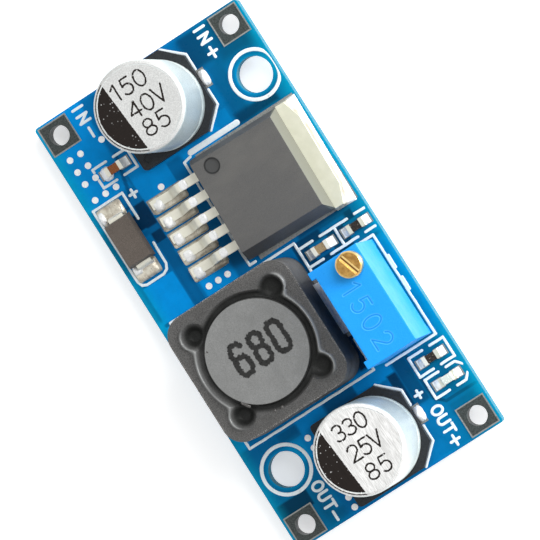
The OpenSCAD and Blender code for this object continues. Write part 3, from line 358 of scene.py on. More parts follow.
def tint(code):
    """Linear colour of a six-digit screen colour code."""
    c = np.array([int(code[i:i + 2], 16) / 255 for i in (0, 2, 4)])
    c = np.where(c <= 0.04045, c / 12.92, ((c + 0.055) / 1.055) ** 2.4)
    return (*c, 1.0)


class Finish:
    """A surface finish under construction. Sizes of patterns are in mm on the piece."""

    def __init__(self, name):
        self.material = bpy.data.materials.new(name)
        self.material.use_nodes = True
        self.tree = self.material.node_tree
        self.shader = self.tree.nodes["Principled BSDF"]
        self.place = self.node("ShaderNodeTexCoord").outputs["Object"]

    def node(self, kind, **settings):
        made = self.tree.nodes.new(kind)
        for key, value in settings.items():
            setattr(made, key, value)
        return made

    def put(self, socket, value):
        if isinstance(value, bpy.types.NodeSocket):
            self.tree.links.new(value, socket)
        else:
            socket.default_value = value

    def scaled(self, size, stretch=(1, 1, 1)):
        """Object coordinates in units of the pattern's size, longer along an axis by its stretch."""
        made = self.node("ShaderNodeMapping")
        self.put(made.inputs["Vector"], self.place)
        made.inputs["Scale"].default_value = [1 / (size * MM * s) for s in stretch]
        return made.outputs["Vector"]

    def cloud(self, size, detail=2.0, rough=0.55, stretch=(1, 1, 1)):
        """Soft noise with features of about this size, 0 to 1."""
        made = self.node("ShaderNodeTexNoise")
        self.put(made.inputs["Vector"], self.scaled(size, stretch))
        made.inputs["Scale"].default_value = 1.0
        made.inputs["Detail"].default_value = detail
        made.inputs["Roughness"].default_value = rough
        return made.outputs["Fac"]

    def cells(self, size):
        """Distance to the nearest of scattered points, spaced by about this size."""
        made = self.node("ShaderNodeTexVoronoi")
        self.put(made.inputs["Vector"], self.scaled(size))
        made.inputs["Scale"].default_value = 1.0
        return made.outputs["Distance"]

    def field(self, name):
        """A number field of the piece."""
        return self.node("ShaderNodeAttribute", attribute_name=name).outputs["Fac"]

    def axis(self, letter):
        """One object coordinate, in mm."""
        made = self.node("ShaderNodeSeparateXYZ")
        self.put(made.inputs[0], self.place)
        return self.sum("MULTIPLY", made.outputs[letter], 1 / MM)

    def sum(self, operation, a, b=0.0, c=0.0):
        made = self.node("ShaderNodeMath", operation=operation)
        for socket, value in zip(made.inputs, (a, b, c)):
            self.put(socket, value)
        return made.outputs[0]

    def spread(self, value, low, high, to_low=0.0, to_high=1.0):
        """value taken smoothly from low..high to to_low..to_high."""
        made = self.node("ShaderNodeMapRange", interpolation_type="SMOOTHSTEP")
        for socket, v in zip(made.inputs, (value, low, high, to_low, to_high)):
            self.put(socket, v)
        return made.outputs[0]

    def blend(self, share, a, b):
        """Colour a where share is 0 and b where it is 1."""
        made = self.node("ShaderNodeMix", data_type="RGBA")
        self.put(made.inputs["Factor"], share)
        self.put(made.inputs[6], a)
        self.put(made.inputs[7], b)
        return made.outputs[2]

    def relief(self, height, depth, under=None):
        """Bump whose height field of 0 to 1 stands for this depth in mm."""
        made = self.node("ShaderNodeBump")
        made.inputs["Strength"].default_value = 1.0
        made.inputs["Distance"].default_value = depth * MM
        self.put(made.inputs["Height"], height)
        if under is not None:
            self.put(made.inputs["Normal"], under)
        return made.outputs["Normal"]

    def done(self, **sockets):
        """Sets the shader's sockets, named with underscores, and returns the material."""
        for name, value in sockets.items():
            self.put(self.shader.inputs[name.replace("_", " ")], value)
        return self.material


def mask_finish(name):
    """Glossy blue solder mask: navy over bare board, brighter over copper, with the glass weave just showing.
    It is greener towards the long edges and one corner, and paler cyan right at the long edges: painted light."""
    f = Finish(name)
    # On the upper face the copper field also carries painted light and shade
    copper = f.field("copper")
    low, high = f.spread(copper, 0.0, 0.6), f.spread(copper, 0.6, 1.0)
    blue = f.blend(high, f.blend(low, tint("002f52"), tint("006cab")), tint("0092e2"))
    green = f.blend(high, f.blend(low, tint("003448"), tint("006d92")), tint("0098be"))
    # Painted light: greener towards the plus edge, the minus edge and one corner
    plus = f.spread(f.axis("Y"), 1.5, 10.9, 0.0, 0.95)
    minus = f.spread(f.axis("Y"), -10.9, -8.6, 0.6, 0.0)
    corner = f.sum("MULTIPLY", f.spread(f.axis("X"), 11.0, 15.0), f.spread(f.axis("Y"), -6.5, -4.0, 0.6, 0.0))
    colour = f.blend(f.sum("MAXIMUM", plus, f.sum("MAXIMUM", minus, corner)), blue, green)
    # Painted light: paler cyan right at the long edges
    colour = f.blend(f.spread(f.sum("ABSOLUTE", f.axis("Y")), 9.3, 10.9, 0.0, 0.55), colour, tint("00a6cc"))
    cloud = f.spread(f.cloud(1.6, 3.0), 0.35, 0.7, 0.0, 0.14)
    colour = f.blend(cloud, colour, tint("02456f"))
    weave = f.sum("MULTIPLY", f.cloud(0.5, 1.0, 0.5, (1, 0.25, 1)), f.cloud(0.5, 1.0, 0.5, (0.25, 1, 1)))
    grain = f.relief(f.cloud(0.09, 2.0), 0.002)
    return f.done(Base_Color=colour, Roughness=f.spread(f.cloud(0.7, 3.0), 0.3, 0.7, 0.26, 0.4),
                  Specular_IOR_Level=0.05, Normal=f.relief(weave, 0.01, grain))


def core_finish():
    """Cut edge of the glass-fibre board under its mask: cloudy cyan, with its glass layers one over another."""
    f = Finish("board_core")
    layer = f.sum("SINE", f.sum("MULTIPLY", f.axis("Z"), 24.0))
    layer = f.sum("MULTIPLY_ADD", layer, 0.3, f.cloud(0.35, 3.0, 0.6, (3, 3, 0.4)))
    colour = f.blend(f.spread(layer, 0.1, 0.95), tint("0b6a86"), tint("3d9bb2"))
    lip = f.spread(f.sum("ABSOLUTE", f.sum("SUBTRACT", f.axis("Z"), BOARD_T / 2)), 0.62, 0.78)
    colour = f.blend(lip, colour, tint("066a94"))
    return f.done(Base_Color=colour, Roughness=f.spread(f.cloud(0.2), 0.3, 0.7, 0.45, 0.7), Specular_IOR_Level=0.2,
                  Normal=f.relief(f.cloud(0.08, 3.0, 0.6, (2, 2, 0.5)), 0.02))


def ink_finish():
    """White printing ink: slightly uneven, thin at places so that a little blue shows, matt."""
    f = Finish("legend_ink")
    thin = f.spread(f.cloud(0.22, 3.0), 0.5, 0.8, 0.0, 0.4)
    colour = f.blend(thin, tint("e8f1f5"), tint("9cc3d6"))
    return f.done(Base_Color=colour, Roughness=f.spread(f.cloud(0.3), 0.3, 0.7, 0.5, 0.7),
                  Normal=f.relief(f.cloud(0.06, 2.0), 0.006))


def metal_finish(name, pale, dark, rough, size=0.35, depth=0.01, metallic=1.0):
    """Metal with cloudy change of shade and roughness, slow waves and a fine grain in its bump."""
    f = Finish(name)
    cloud = f.cloud(size, 3.0, 0.6)
    colour = f.blend(f.spread(cloud, 0.3, 0.72), tint(pale), tint(dark))
    fine = f.relief(f.cloud(0.03, 2.0, 0.6), depth * 0.25)
    return f.done(Base_Color=colour, Metallic=metallic,
                  Roughness=f.spread(f.cloud(size * 0.6, 2.0), 0.3, 0.7, rough * 0.75, rough * 1.3),
                  Normal=f.relief(cloud, depth, fine))


def lead_finish():
    """Tinned copper of leads and tabs: ivory, smooth, and a shade duller on the regulator's broad tab."""
    f = Finish("tinned_lead")
    cloud = f.cloud(1.1, 3.0, 0.6)
    colour = f.blend(f.spread(cloud, 0.3, 0.72), tint("f0eedf"), tint("e6e4d5"))
    tab = f.sum("MULTIPLY", f.spread(f.axis("Y"), 7.6, 8.4), f.spread(cloud, 0.2, 0.8, 0.7, 1.0))
    colour = f.blend(tab, colour, tint("cfcfbb"))
    return f.done(Base_Color=colour, Metallic=0.3, Roughness=f.spread(f.cloud(0.7, 2.0), 0.3, 0.7, 0.32, 0.5),
                  Normal=f.relief(cloud, 0.003, f.relief(f.cloud(0.03, 2.0, 0.6), 0.001)))


def tab_solder_finish():
    """Solder that is duller and browner against the tab, and white further out, which is a painted highlight."""
    f = Finish("tab_solder")
    cloud = f.cloud(0.5, 3.0, 0.6, (2.5, 0.6, 1))
    near = f.blend(f.spread(cloud, 0.35, 0.7), tint("d6d2c2"), tint("a89f8d"))
    far = f.blend(f.spread(cloud, 0.35, 0.7), tint("ffffff"), tint("dfe0dc"))
    # Painted highlight: white solder away from the tab
    colour = f.blend(f.spread(f.field("away"), 0.12, 0.42), near, far)
    return f.done(Base_Color=colour, Metallic=0.2, Roughness=f.spread(cloud, 0.3, 0.7, 0.3, 0.5),
                  Normal=f.relief(cloud, 0.006))


def pad_finish():
    """Dull tinned terminal pads: dark grey with a fine grain, and a pale bead along their four edges."""
    f = Finish("tinned_pad")
    grain = f.cloud(0.12, 3.0, 0.7)
    colour = f.blend(f.spread(grain, 0.3, 0.7), tint("2f3433"), tint("4b5150"))
    x, y = np.abs(TERMINALS[0])
    off_x = f.sum("ABSOLUTE", f.sum("SUBTRACT", f.sum("ABSOLUTE", f.axis("X")), float(x)))
    off_y = f.sum("ABSOLUTE", f.sum("SUBTRACT", f.sum("ABSOLUTE", f.axis("Y")), float(y)))
    off = f.sum("MAXIMUM", off_x, off_y)
    edge = f.sum("MULTIPLY", f.spread(off, 1.28, 1.34), f.spread(grain, 0.3, 0.5, 0.2, 0.6))
    colour = f.blend(edge, colour, tint("aeb0ad"))
    return f.done(Base_Color=colour, Metallic=0.5, Roughness=f.spread(f.cloud(0.5), 0.3, 0.7, 0.34, 0.55),
                  Specular_IOR_Level=0.3, Normal=f.relief(f.spread(off, 1.2, 1.4), 0.02, f.relief(grain, 0.006)))


def cast_finish(name, shade, deep, rough, grain=0.05, depth=0.008, pale=None, pale_share=0.0):
    """Moulded or pressed matt stuff: base shade with darker and paler grains, and their relief."""
    f = Finish(name)
    grains = f.cloud(grain, 3.0, 0.7)
    colour = f.blend(f.spread(grains, 0.36, 0.62), tint(deep), tint(shade))
    if pale:
        spots = f.spread(f.cells(grain * 2.2), 0.0, 0.26, pale_share, 0.0)
        colour = f.blend(spots, colour, tint(pale))
    wide = f.cloud(grain * 14, 2.0)
    colour = f.blend(f.spread(wide, 0.35, 0.75, 0.0, 0.2), colour, tint(deep))
    return f.done(Base_Color=colour, Roughness=f.spread(wide, 0.3, 0.7, rough * 0.85, rough * 1.1),
                  Specular_IOR_Level=0.2, Normal=f.relief(grains, depth))


def can_finish():
    """Drawn aluminium: faint rings of grain round the wall, and a soft sheen. The wall is darker where it faces
    the board's middle and its plus side: a painted reflection of the dark board.
    """
    f = Finish("can_aluminium")
    drawn = f.cloud(0.5, 3.0, 0.6, (1.4, 1.4, 0.06))
    fine = f.cloud(0.05, 2.0, 0.6)
    colour = f.blend(f.spread(drawn, 0.3, 0.7), tint("e6eeed"), tint("cddad9"))
    # Painted reflection: the wall darkens where it faces the board's middle and its plus side
    inward = f.sum("SUBTRACT", float(OUTPUT_CAN[0]), f.sum("ABSOLUTE", f.axis("X")))
    facing = f.sum("MULTIPLY", f.sum("ADD", inward, f.axis("Y")), 0.177)
    shade = f.sum("MULTIPLY", f.spread(facing, 0.35, 1.05, 0.0, 0.7), f.spread(drawn, 0.3, 0.7, 0.6, 1.0))
    colour = f.blend(shade, colour, tint("7f929a"))
    return f.done(Base_Color=colour, Metallic=0.3, Roughness=f.spread(drawn, 0.25, 0.75, 0.26, 0.4),
                  Normal=f.relief(fine, 0.002, f.relief(drawn, 0.004)))


def can_print_finish(name, pale, dull, ragged, brushed):
    """Coated top of a can: bare sheet with grain or brushing, black printing where the fields are below zero,
    with ragged edges, thin places and pinholes."""
    f = Finish(name)
    grain = f.cloud(0.09, 3.0, 0.7, (9, 0.5, 1) if brushed else (1, 1, 1))
    wide = f.cloud(1.4, 3.0, 0.6, (3, 0.5, 1) if brushed else (1, 1, 1))
    sheet = f.blend(f.spread(grain, 0.35, 0.66), tint(dull), tint(pale))
    sheet = f.blend(f.spread(wide, 0.4, 0.75, 0.0, 0.35), sheet, tint(dull))
    worn = f.sum("SUBTRACT", f.cloud(0.16, 3.0, 0.7), 0.5)
    edge = f.sum("MULTIPLY_ADD", worn, ragged, f.field("print"))
    thin = f.sum("MULTIPLY_ADD", f.sum("SUBTRACT", f.cloud(0.13, 3.0, 0.7), 0.5), 0.16, f.field("digits"))
    inked = f.spread(f.sum("MINIMUM", edge, thin), -0.014, 0.014, 1.0, 0.0)
    holes = f.sum("MAXIMUM", f.spread(f.cells(0.3), 0.1, 0.2, 1.0, 0.0), f.spread(f.cells(0.6), 0.08, 0.14, 1.0, 0.0))
    near = f.spread(f.field("print"), -0.9, -0.1, 0.25, 1.0)
    holes = f.sum("MULTIPLY", f.sum("MULTIPLY", holes, near), f.spread(f.cloud(0.9, 1.0), 0.44, 0.58))
    inked = f.sum("MULTIPLY", inked, f.sum("SUBTRACT", 1.0, holes))
    colour = f.blend(inked, sheet, f.blend(grain, tint("0d0b0a"), tint("2a2320")))
    metal = f.sum("MULTIPLY", f.sum("SUBTRACT", 1.0, inked), 0.3)
    rough = f.spread(f.cloud(0.3), 0.3, 0.7, 0.38, 0.55)
    return f.done(Base_Color=colour, Metallic=metal, Roughness=rough, Specular_IOR_Level=0.12,
                  Normal=f.relief(grain, 0.003, f.relief(inked, 0.006)))


def drum_print_finish():
    """Pressed ferrite face with numbers printed in dots of near-black ink."""
    f = Finish("drum_face")
    grain = f.cloud(0.07, 3.0, 0.75)
    wide = f.cloud(1.5, 3.0)
    colour = f.blend(f.spread(grain, 0.3, 0.68), tint("757675"), tint("8c8d8c"))
    colour = f.blend(f.spread(wide, 0.4, 0.7, 0.0, 0.3), colour, tint("6f706f"))
    pale = f.spread(f.cells(0.5), 0.02, 0.1, 0.4, 0.0)
    colour = f.blend(pale, colour, tint("b4b5b4"))
    ragged = f.sum("MULTIPLY_ADD", f.sum("SUBTRACT", f.cloud(0.2, 2.0, 0.6), 0.5), 0.3, f.field("digits"))
    ragged = f.sum("MULTIPLY_ADD", f.sum("SUBTRACT", f.cells(0.3), 0.35), 0.16, ragged)
    inked = f.spread(ragged, -0.05, 0.04, 0.97, 0.0)
    dots = f.spread(f.cells(0.24), 0.2, 0.42, 0.0, 0.5)
    colour = f.blend(inked, colour, f.blend(dots, tint("141414"), tint("333332")))
    return f.done(Base_Color=colour, Roughness=f.spread(wide, 0.3, 0.7, 0.6, 0.75), Specular_IOR_Level=0.15,
                  Normal=f.relief(grain, 0.01))


def shield_finish(name, crown):
    """Pressed dark ferrite: coarse grains, and bare bright specks where its outer edges are rubbed. On the
    crown the fields say where adhesive wets it smooth, where dark adhesive and painted shade fill the gap and
    pockets, and where a raised lip gets a painted highlight."""
    f = Finish(name)
    grain = f.cloud(0.1, 4.0, 0.75)
    colour = f.blend(f.spread(grain, 0.3, 0.68), tint("3c3c3b"), tint("666564"))
    wide = f.cloud(2.2, 3.0)
    colour = f.blend(f.spread(wide, 0.4, 0.75, 0.0, 0.35), colour, tint("414140"))
    off_x = f.sum("ABSOLUTE", f.sum("SUBTRACT", f.axis("X"), float(DRUM[0])))
    off_y = f.sum("ABSOLUTE", f.sum("SUBTRACT", f.axis("Y"), float(DRUM[1])))
    rim = f.spread(f.sum("MAXIMUM", off_x, off_y), SHIELD_HALF - 0.22, SHIELD_HALF, 0.0, 1.0)
    high = f.spread(f.axis("Z"), DRUM_TOP - 0.35, DRUM_TOP - 0.05)
    specks = f.spread(f.cloud(0.1, 2.0, 0.8), 0.5, 0.66)
    share = f.sum("MULTIPLY", f.sum("MULTIPLY", rim, high), specks)
    colour = f.blend(f.sum("MULTIPLY", share, 0.75), colour, tint("b9b5b0"))
    stray = f.spread(f.cells(0.8), 0.0, 0.07, 0.6, 0.0)
    colour = f.blend(stray, colour, tint("a39f9a"))
    if crown:
        colour = f.blend(f.field("wet"), colour, f.blend(f.spread(grain, 0.3, 0.7), tint("484848"), tint("5e5e5d")))
        # Dark adhesive with painted shade in the gap and pockets
        colour = f.blend(f.field("dark"), colour, f.blend(f.spread(grain, 0.3, 0.7), tint("1b1c1b"), tint("2b2c2b")))
        # Painted highlight: the lips are made paler
        colour = f.blend(f.spread(f.field("lip"), 0.15, 0.95, 0.0, 0.8), colour, tint("8d8f8e"))
        return f.done(Base_Color=colour, Roughness=f.spread(f.field("wet"), 0.0, 1.0, 0.62, 0.42),
                      Specular_IOR_Level=0.12, Coat_Weight=f.spread(f.field("lip"), 0.1, 0.9, 0.0, 0.6),
                      Coat_Roughness=0.16, Normal=f.relief(grain, 0.008))
    return f.done(Base_Color=colour, Roughness=f.spread(wide, 0.3, 0.7, 0.55, 0.72), Specular_IOR_Level=0.22,
                  Normal=f.relief(grain, 0.016))


def resin_finish():
    """Dark glossy adhesive with a soft skin."""
    f = Finish("core_adhesive")
    grain = f.cloud(0.15, 3.0, 0.7)
    colour = f.blend(f.spread(grain, 0.3, 0.7), tint("343231"), tint("5a5856"))
    return f.done(Base_Color=colour, Roughness=f.spread(f.cloud(0.6, 3.0), 0.3, 0.7, 0.2, 0.45),
                  Specular_IOR_Level=0.6, Normal=f.relief(grain, 0.02))


def epoxy_finish():
    """Moulded regulator body: dark grey with a fine spark-eroded grain, a faint wipe of flux, a darker polished
    dimple at its first lead, and a pale end over the tab that is painted light, as if the lamp lit it."""
    f = Finish("regulator_epoxy")
    grain = f.cloud(0.05, 3.0, 0.7)
    colour = f.blend(f.spread(grain, 0.34, 0.66), tint("525251"), tint("605f5e"))
    wide = f.cloud(2.4, 3.0, 0.6, (1, 2.5, 1))
    colour = f.blend(f.spread(wide, 0.42, 0.75, 0.0, 0.35), colour, tint("6c6a66"))
    off_x = f.sum("SUBTRACT", f.axis("X"), DIMPLE[0])
    off_y = f.sum("SUBTRACT", f.axis("Y"), DIMPLE[1])
    off = f.sum("SQRT", f.sum("MULTIPLY_ADD", off_x, off_x, f.sum("MULTIPLY", off_y, off_y)))
    inside = f.spread(off, 0.66, 0.74, 1.0, 0.0)
    colour = f.blend(f.sum("MULTIPLY", inside, 0.6), colour, tint("333536"))
    ring = f.spread(f.sum("ABSOLUTE", f.sum("SUBTRACT", off, 0.66)), 0.02, 0.12, 0.75, 0.0)
    colour = f.blend(ring, colour, tint("1c1d1e"))
    # Painted light: the body's end over the tab is made pale, as if lit
    turn = np.radians(REG_TURN)
    along = f.sum("SUBTRACT", f.sum("MULTIPLY", f.axis("Y"), float(np.cos(turn))),
                  f.sum("MULTIPLY", f.axis("X"), float(np.sin(turn))))
    painted_lit_end = float(REG_AT[1] * np.cos(turn) - REG_AT[0] * np.sin(turn)) + REG_END
    colour = f.blend(f.spread(along, painted_lit_end - 0.03, painted_lit_end + 0.04), colour, f.blend(grain, tint("6c6d62"), tint("838478")))
    return f.done(Base_Color=colour, Roughness=f.spread(inside, 0.0, 1.0, 0.58, 0.35), Specular_IOR_Level=0.2,
                  Normal=f.relief(grain, 0.008))


def trimmer_finish(name, engraved):
    """Bright blue moulded plastic with a fine grain; an engraved sign gets painted shade in its groove and a
    painted highlight along its edges.
    """
    f = Finish(name)
    grain = f.cloud(0.06, 2.0, 0.6)
    colour = f.blend(f.spread(grain, 0.35, 0.65), tint("189af6"), tint("24a2fa"))
    wide = f.cloud(1.8, 3.0)
    colour = f.blend(f.spread(wide, 0.35, 0.75, 0.0, 0.2), colour, tint("108cf0"))
    specks = f.spread(f.cells(0.42), 0.02, 0.12, 0.6, 0.0)
    specks = f.sum("MULTIPLY", specks, f.spread(f.cloud(0.7), 0.5, 0.62))
    colour = f.blend(specks, colour, tint("0a6cc4"))
    normal = f.relief(grain, 0.006)
    if engraved:
        # Painted shade in the engraved groove, and a painted highlight on the lips beside it
        groove = f.spread(f.field("digits"), 0.01, 0.055, 1.0, 0.0)
        colour = f.blend(f.sum("MULTIPLY", groove, 0.5), colour, tint("0a5cb0"))
        lip = f.sum("MULTIPLY", f.spread(f.field("digits"), 0.05, 0.1), f.spread(f.field("digits"), 0.1, 0.17, 1, 0))
        colour = f.blend(f.sum("MULTIPLY", lip, 0.35), colour, tint("6cc4ff"))
    return f.done(Base_Color=colour, Roughness=f.spread(wide, 0.3, 0.7, 0.34, 0.46), Specular_IOR_Level=0.2,
                  Normal=normal)


def lens_finish():
    """Clear cast resin of the lamp, faintly green."""
    f = Finish("lamp_clear")
    return f.done(Base_Color=f.blend(f.cloud(0.3), tint("fcfff8"), tint("eef8e8")),
                  Transmission_Weight=0.25, IOR=1.5, Roughness=f.spread(f.cloud(0.2), 0.3, 0.7, 0.12, 0.3),
                  Normal=f.relief(f.cloud(0.12), 0.01))


def brass_finish():
    """Turned brass of the adjusting screw: faint turning lines, a bright edge that is a painted highlight, and in
    its slot a bright painted highlight with a dark line of painted shade along one wall.
    """
    f = Finish("brass")
    cloud = f.cloud(0.5, 3.0, 0.6)
    colour = f.blend(f.spread(cloud, 0.3, 0.7), tint("c69c58"), tint("956f3a"))
    off_x = f.sum("SUBTRACT", f.axis("X"), float(SCREW[0]))
    off_y = f.sum("SUBTRACT", f.axis("Y"), float(SCREW[1]))
    off = f.sum("SQRT", f.sum("MULTIPLY_ADD", off_x, off_x, f.sum("MULTIPLY", off_y, off_y)))
    # Painted highlight and shade in the slot: a bright floor with a dark line along one wall
    low = f.sum("MULTIPLY", f.spread(f.axis("Z"), SCREW_TOP - 0.5, SCREW_TOP - 0.06, 1.0, 0.0),
                f.spread(off, 0.9, 1.02, 1.0, 0.0))
    over = f.sum("ADD", f.sum("MULTIPLY", off_x, -float(np.sin(SLOT_TURN))),
                 f.sum("MULTIPLY", off_y, float(np.cos(SLOT_TURN))))
    groove = f.spread(f.sum("ABSOLUTE", f.sum("ADD", over, 0.03)), 0.02, 0.12, 1.0, 0.0)
    floor = f.blend(groove, tint("f7d993"), tint("6a400f"))
    colour = f.blend(low, colour, floor)
    # Painted highlight: a paler ring at the head's edge
    edge = f.spread(off, 0.96, 1.1, 0.0, 0.6)
    colour = f.blend(edge, colour, tint("f6dd9c"))
    lines = f.sum("SINE", f.sum("MULTIPLY", off, 60.0))
    return f.done(Base_Color=colour, Metallic=1.0, Roughness=f.spread(cloud, 0.3, 0.7, 0.26, 0.4),
                  Normal=f.relief(lines, 0.002, f.relief(f.cloud(0.05), 0.002)))


def make_finishes():
    """Every finish, by the material slot that it is for."""
    return {
        "solder_mask": core_finish(),
        "tinned_pad": pad_finish(),
        # Painted highlight: this solder is near-white and mostly matt, standing in for the glare of shiny solder
        "solder": metal_finish("solder", "ffffff", "f0f2f1", 0.32, 0.5, 0.004, 0.12),
        # Painted reflection: the darker brown-grey in this solder's cloud stands in for dark parts mirrored in it
        "run_solder_painted_reflection": metal_finish("run_solder_painted_reflection", "ddd8c8", "a99f8e", 0.34, 0.7, 0.008, 0.35),
        "tab_solder": tab_solder_finish(),
        "legend_ink": ink_finish(),
        "can_aluminium": can_finish(),
        "base_plastic": cast_finish("base_plastic", "2e3134", "1c1e21", 0.5, 0.06, 0.008),
        "tinned_lead": lead_finish(),
        "shield_ferrite": shield_finish("shield_ferrite", False),
        "drum_ferrite": cast_finish("drum_ferrite", "7c7d7c", "5b5c5b", 0.68, 0.09, 0.012),
        "copper_wire": metal_finish("copper_wire", "b5622c", "8a4420", 0.3, 0.3, 0.006),
        "glue": resin_finish(),
        "regulator_epoxy": epoxy_finish(),
        "trimmer_plastic": trimmer_finish("trimmer_plastic", False),
        "brass": brass_finish(),
        "ring_rubber": cast_finish("ring_rubber", "202022", "101012", 0.7, 0.05, 0.006),
        "wheel_plastic": cast_finish("wheel_plastic", "efe9dc", "d8d0be", 0.5, 0.08, 0.006),
        "ceramic": cast_finish("ceramic", "f2efe8", "dcd7cc", 0.5, 0.06, 0.006),
        "track_ink": cast_finish("track_ink", "2b2a2c", "171618", 0.55, 0.05, 0.004),
        "diode_epoxy": cast_finish("diode_epoxy", "6a625b", "4b443f", 0.55, 0.05, 0.008, "8a7e73", 0.4),
        "resistor_black": cast_finish("resistor_black", "3a322c", "1f1a17", 0.35, 0.1, 0.006, "c7b9a0", 0.7),
        "capacitor_tan": cast_finish("capacitor_tan", "b39a74", "8f7955", 0.4, 0.08, 0.006),
        "capacitor_brown": cast_finish("capacitor_brown", "a5653a", "7e4726", 0.4, 0.08, 0.006),
        "lamp_clear": lens_finish(),
        "lamp_carrier": cast_finish("lamp_carrier", "eef0e6", "d2d6c6", 0.45, 0.08, 0.006),
    }


FINISH = make_finishes()


def dress_solids():
    """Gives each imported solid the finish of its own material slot."""
    for part in frame["record"]["subparts"]:
        solid = frame["nodes"][part["node"]]
        solid.data.materials.clear()
        solid.data.materials.append(FINISH[part["material_slot"]])


# ---- Board ----

# Areas of the upper copper, painted in this order: x0, y0, x1, y1, level (0 is bare board, 1 is a bright pour),
# and how soft the edge is. The levels also carry painted light and shade: some areas are set lighter where
# parts shade the board and darker where the lamps light it more.
UPPER_COPPER_AND_SHADE = [
    (-22, 6.3, -17.2, 10.6, 0.27, 0.9), (-22, 3.9, -18, 6.3, 0.19, 0.6), (-18, 4.9, -12.2, 6.6, 0.33, 0.4),
    (-13.2, 5, -12.15, 9.2, 0.14, 0.3), (-14.2, 3.2, -12.5, 4.7, 0.75, 0.1), (-14.3, -2.3, -12.9, 3.2, 0.95, 0.3),
    (-12.9, -0.9, -11.9, 3.2, 0.9, 0.3), (-14.3, -5.7, -10.9, -2.3, 0.9, 0.1), (-22, -10.6, -12.9, -5.9, 0.9, 0.3),
    (-16.2, -10.2, -12.9, -7.2, 1.0, 0.3), (-12.3, -2.2, -1.6, -0.8, 0.6, 0.1), (-3.1, -5.4, -1.0, -2.2, 1.0, 0.3),
    (-11.3, -6.75, -7.4, -5.7, 0.06, 0.1), (-7.4, -6.75, -0.9, -5.7, 0.33, 0.1), (-4.6, -6.6, -0.9, -5.8, 0.42, 0.4),
    (-10.6, -8.2, -9.1, -5.7, 0.0, 0.1), (-9.0, -7.3, -8.45, -5.6, 0.4, 0.1), (-4.75, -9.95, -1.15, -6.85, 1.0, 0.1),
    (-1.0, 3, 2.2, 9.2, 0.14, 0.1), (-2, 4, -1, 9.2, 0.2, 0.3), (-0.9, 5.9, -0.4, 8.4, 0.45, 0.2),
    (-0.1, 7.9, 2.0, 9.9, 0.55, 0.1), (-0.1, 4.4, 1.3, 6.2, 0.5, 0.1), (7, 2.4, 11.4, 4.4, 0.0, 0.2),
    (11.4, 1, 13.2, 5, 0.85, 0.1), (13, 4, 16.3, 4.9, 0.1, 0.1), (11.8, -2.1, 13.4, 1, 0.3, 0.1),
    (11.8, -5, 14.8, -2.1, 0.85, 0.3), (12.1, 4.9, 16.6, 6.3, 0.24, 0.2), (12.3, 6.3, 17.3, 9.4, 0.4, 0.2),
    (12.2, -7, 13.2, -5, 0.36, 0.1), (13.2, -7, 15.4, -5, 0.9, 0.4), (12.2, -10.2, 17.4, -7, 0.48, 0.5),
    (17.4, -10.4, 18.9, -7.2, 0.1, 0.1), (17.6, -7.1, 21.6, -5, 0.42, 0.3), (18.2, -5.9, 20.2, -5, 0.7, 0.3),
    (17.8, 7.2, 18.8, 10, 0.4, 0.3), (-1.5, -10.6, 11.8, -9.3, 0.95, 0.3), (19.9, 3.5, 21.4, 5.2, 0.68, 0.3),
]
UPPER_BARE_LINES = [
    [(-11.4, -10.3), (-11.4, -7.2), (-12.6, -6.4), (-16, -5.6)], [(17.5, 10.3), (17.5, 7.3), (16.7, 6.5), (12, 6.4)],
    [(-1.0, -2.3), (-1.0, -9.9)], [(2.1, 4.6), (2.1, 10.3)],
]
LOWER_COPPER = [
    (-21.3, 4, -16.8, 10.3, 0.75, 0.1), (-16.4, -10.3, 1.5, 10.3, 0.7, 0.1), (-12.6, -10.3, -3, -6.9, 0.85, 0.1),
    (2.1, 5.3, 13, 9.2, 0.2, 0.1), (12, -10.3, 21.3, 3, 0.8, 0.1), (-1, -1, 11.5, 4.8, 0.6, 0.1),
]
LOWER_BARE_LINES = [
    [(-16.6, 10.4), (-16.6, -5.4), (-21.4, -5.4)], [(1.8, 10.4), (1.8, -3), (12, -3), (12, -10.4)],
    [(4.56, 8.1), (4.56, 9.6), (9.64, 9.6), (9.64, 8.1)], [(13.2, 10.4), (13.2, 3.4), (21.4, 3.4)],
    [(-12.9, -10.4), (-12.9, -6.6), (-2.7, -6.6), (-2.7, -10.4)],
]


def copper_level(x, y, areas, bare_lines):
    """Copper under the mask, 0 to 1: each area in turn is blended in by a smooth step of its distance, then
    gaps are cut along the bare lines, and the mask thins round the mounting holes and at the board's edge."""
    level = np.full(x.shape, 0.6)
    for *area, value, soft in areas:
        inside = smooth_step(-box_distance(x, y, area), -soft, soft)
        level = level * (1 - inside) + value * inside
    for path in bare_lines:
        gap = smooth_step(run_distance(x, y, [np.array(path)]), 0.1, 0.2)
        level = level * (0.45 + 0.55 * gap)
    for cx, cy in MOUNT_HOLES:
        level = np.maximum(level, 0.8 * smooth_step(np.hypot(x - cx, y - cy), 2.1, 1.8))
    rim = smooth_step(-box_distance(x, y, (-HALF_L, -HALF_W, HALF_L, HALF_W)), 0.1, 0.5)
    return level * rim + (0.25 + 0.75 * level) * (1 - rim)


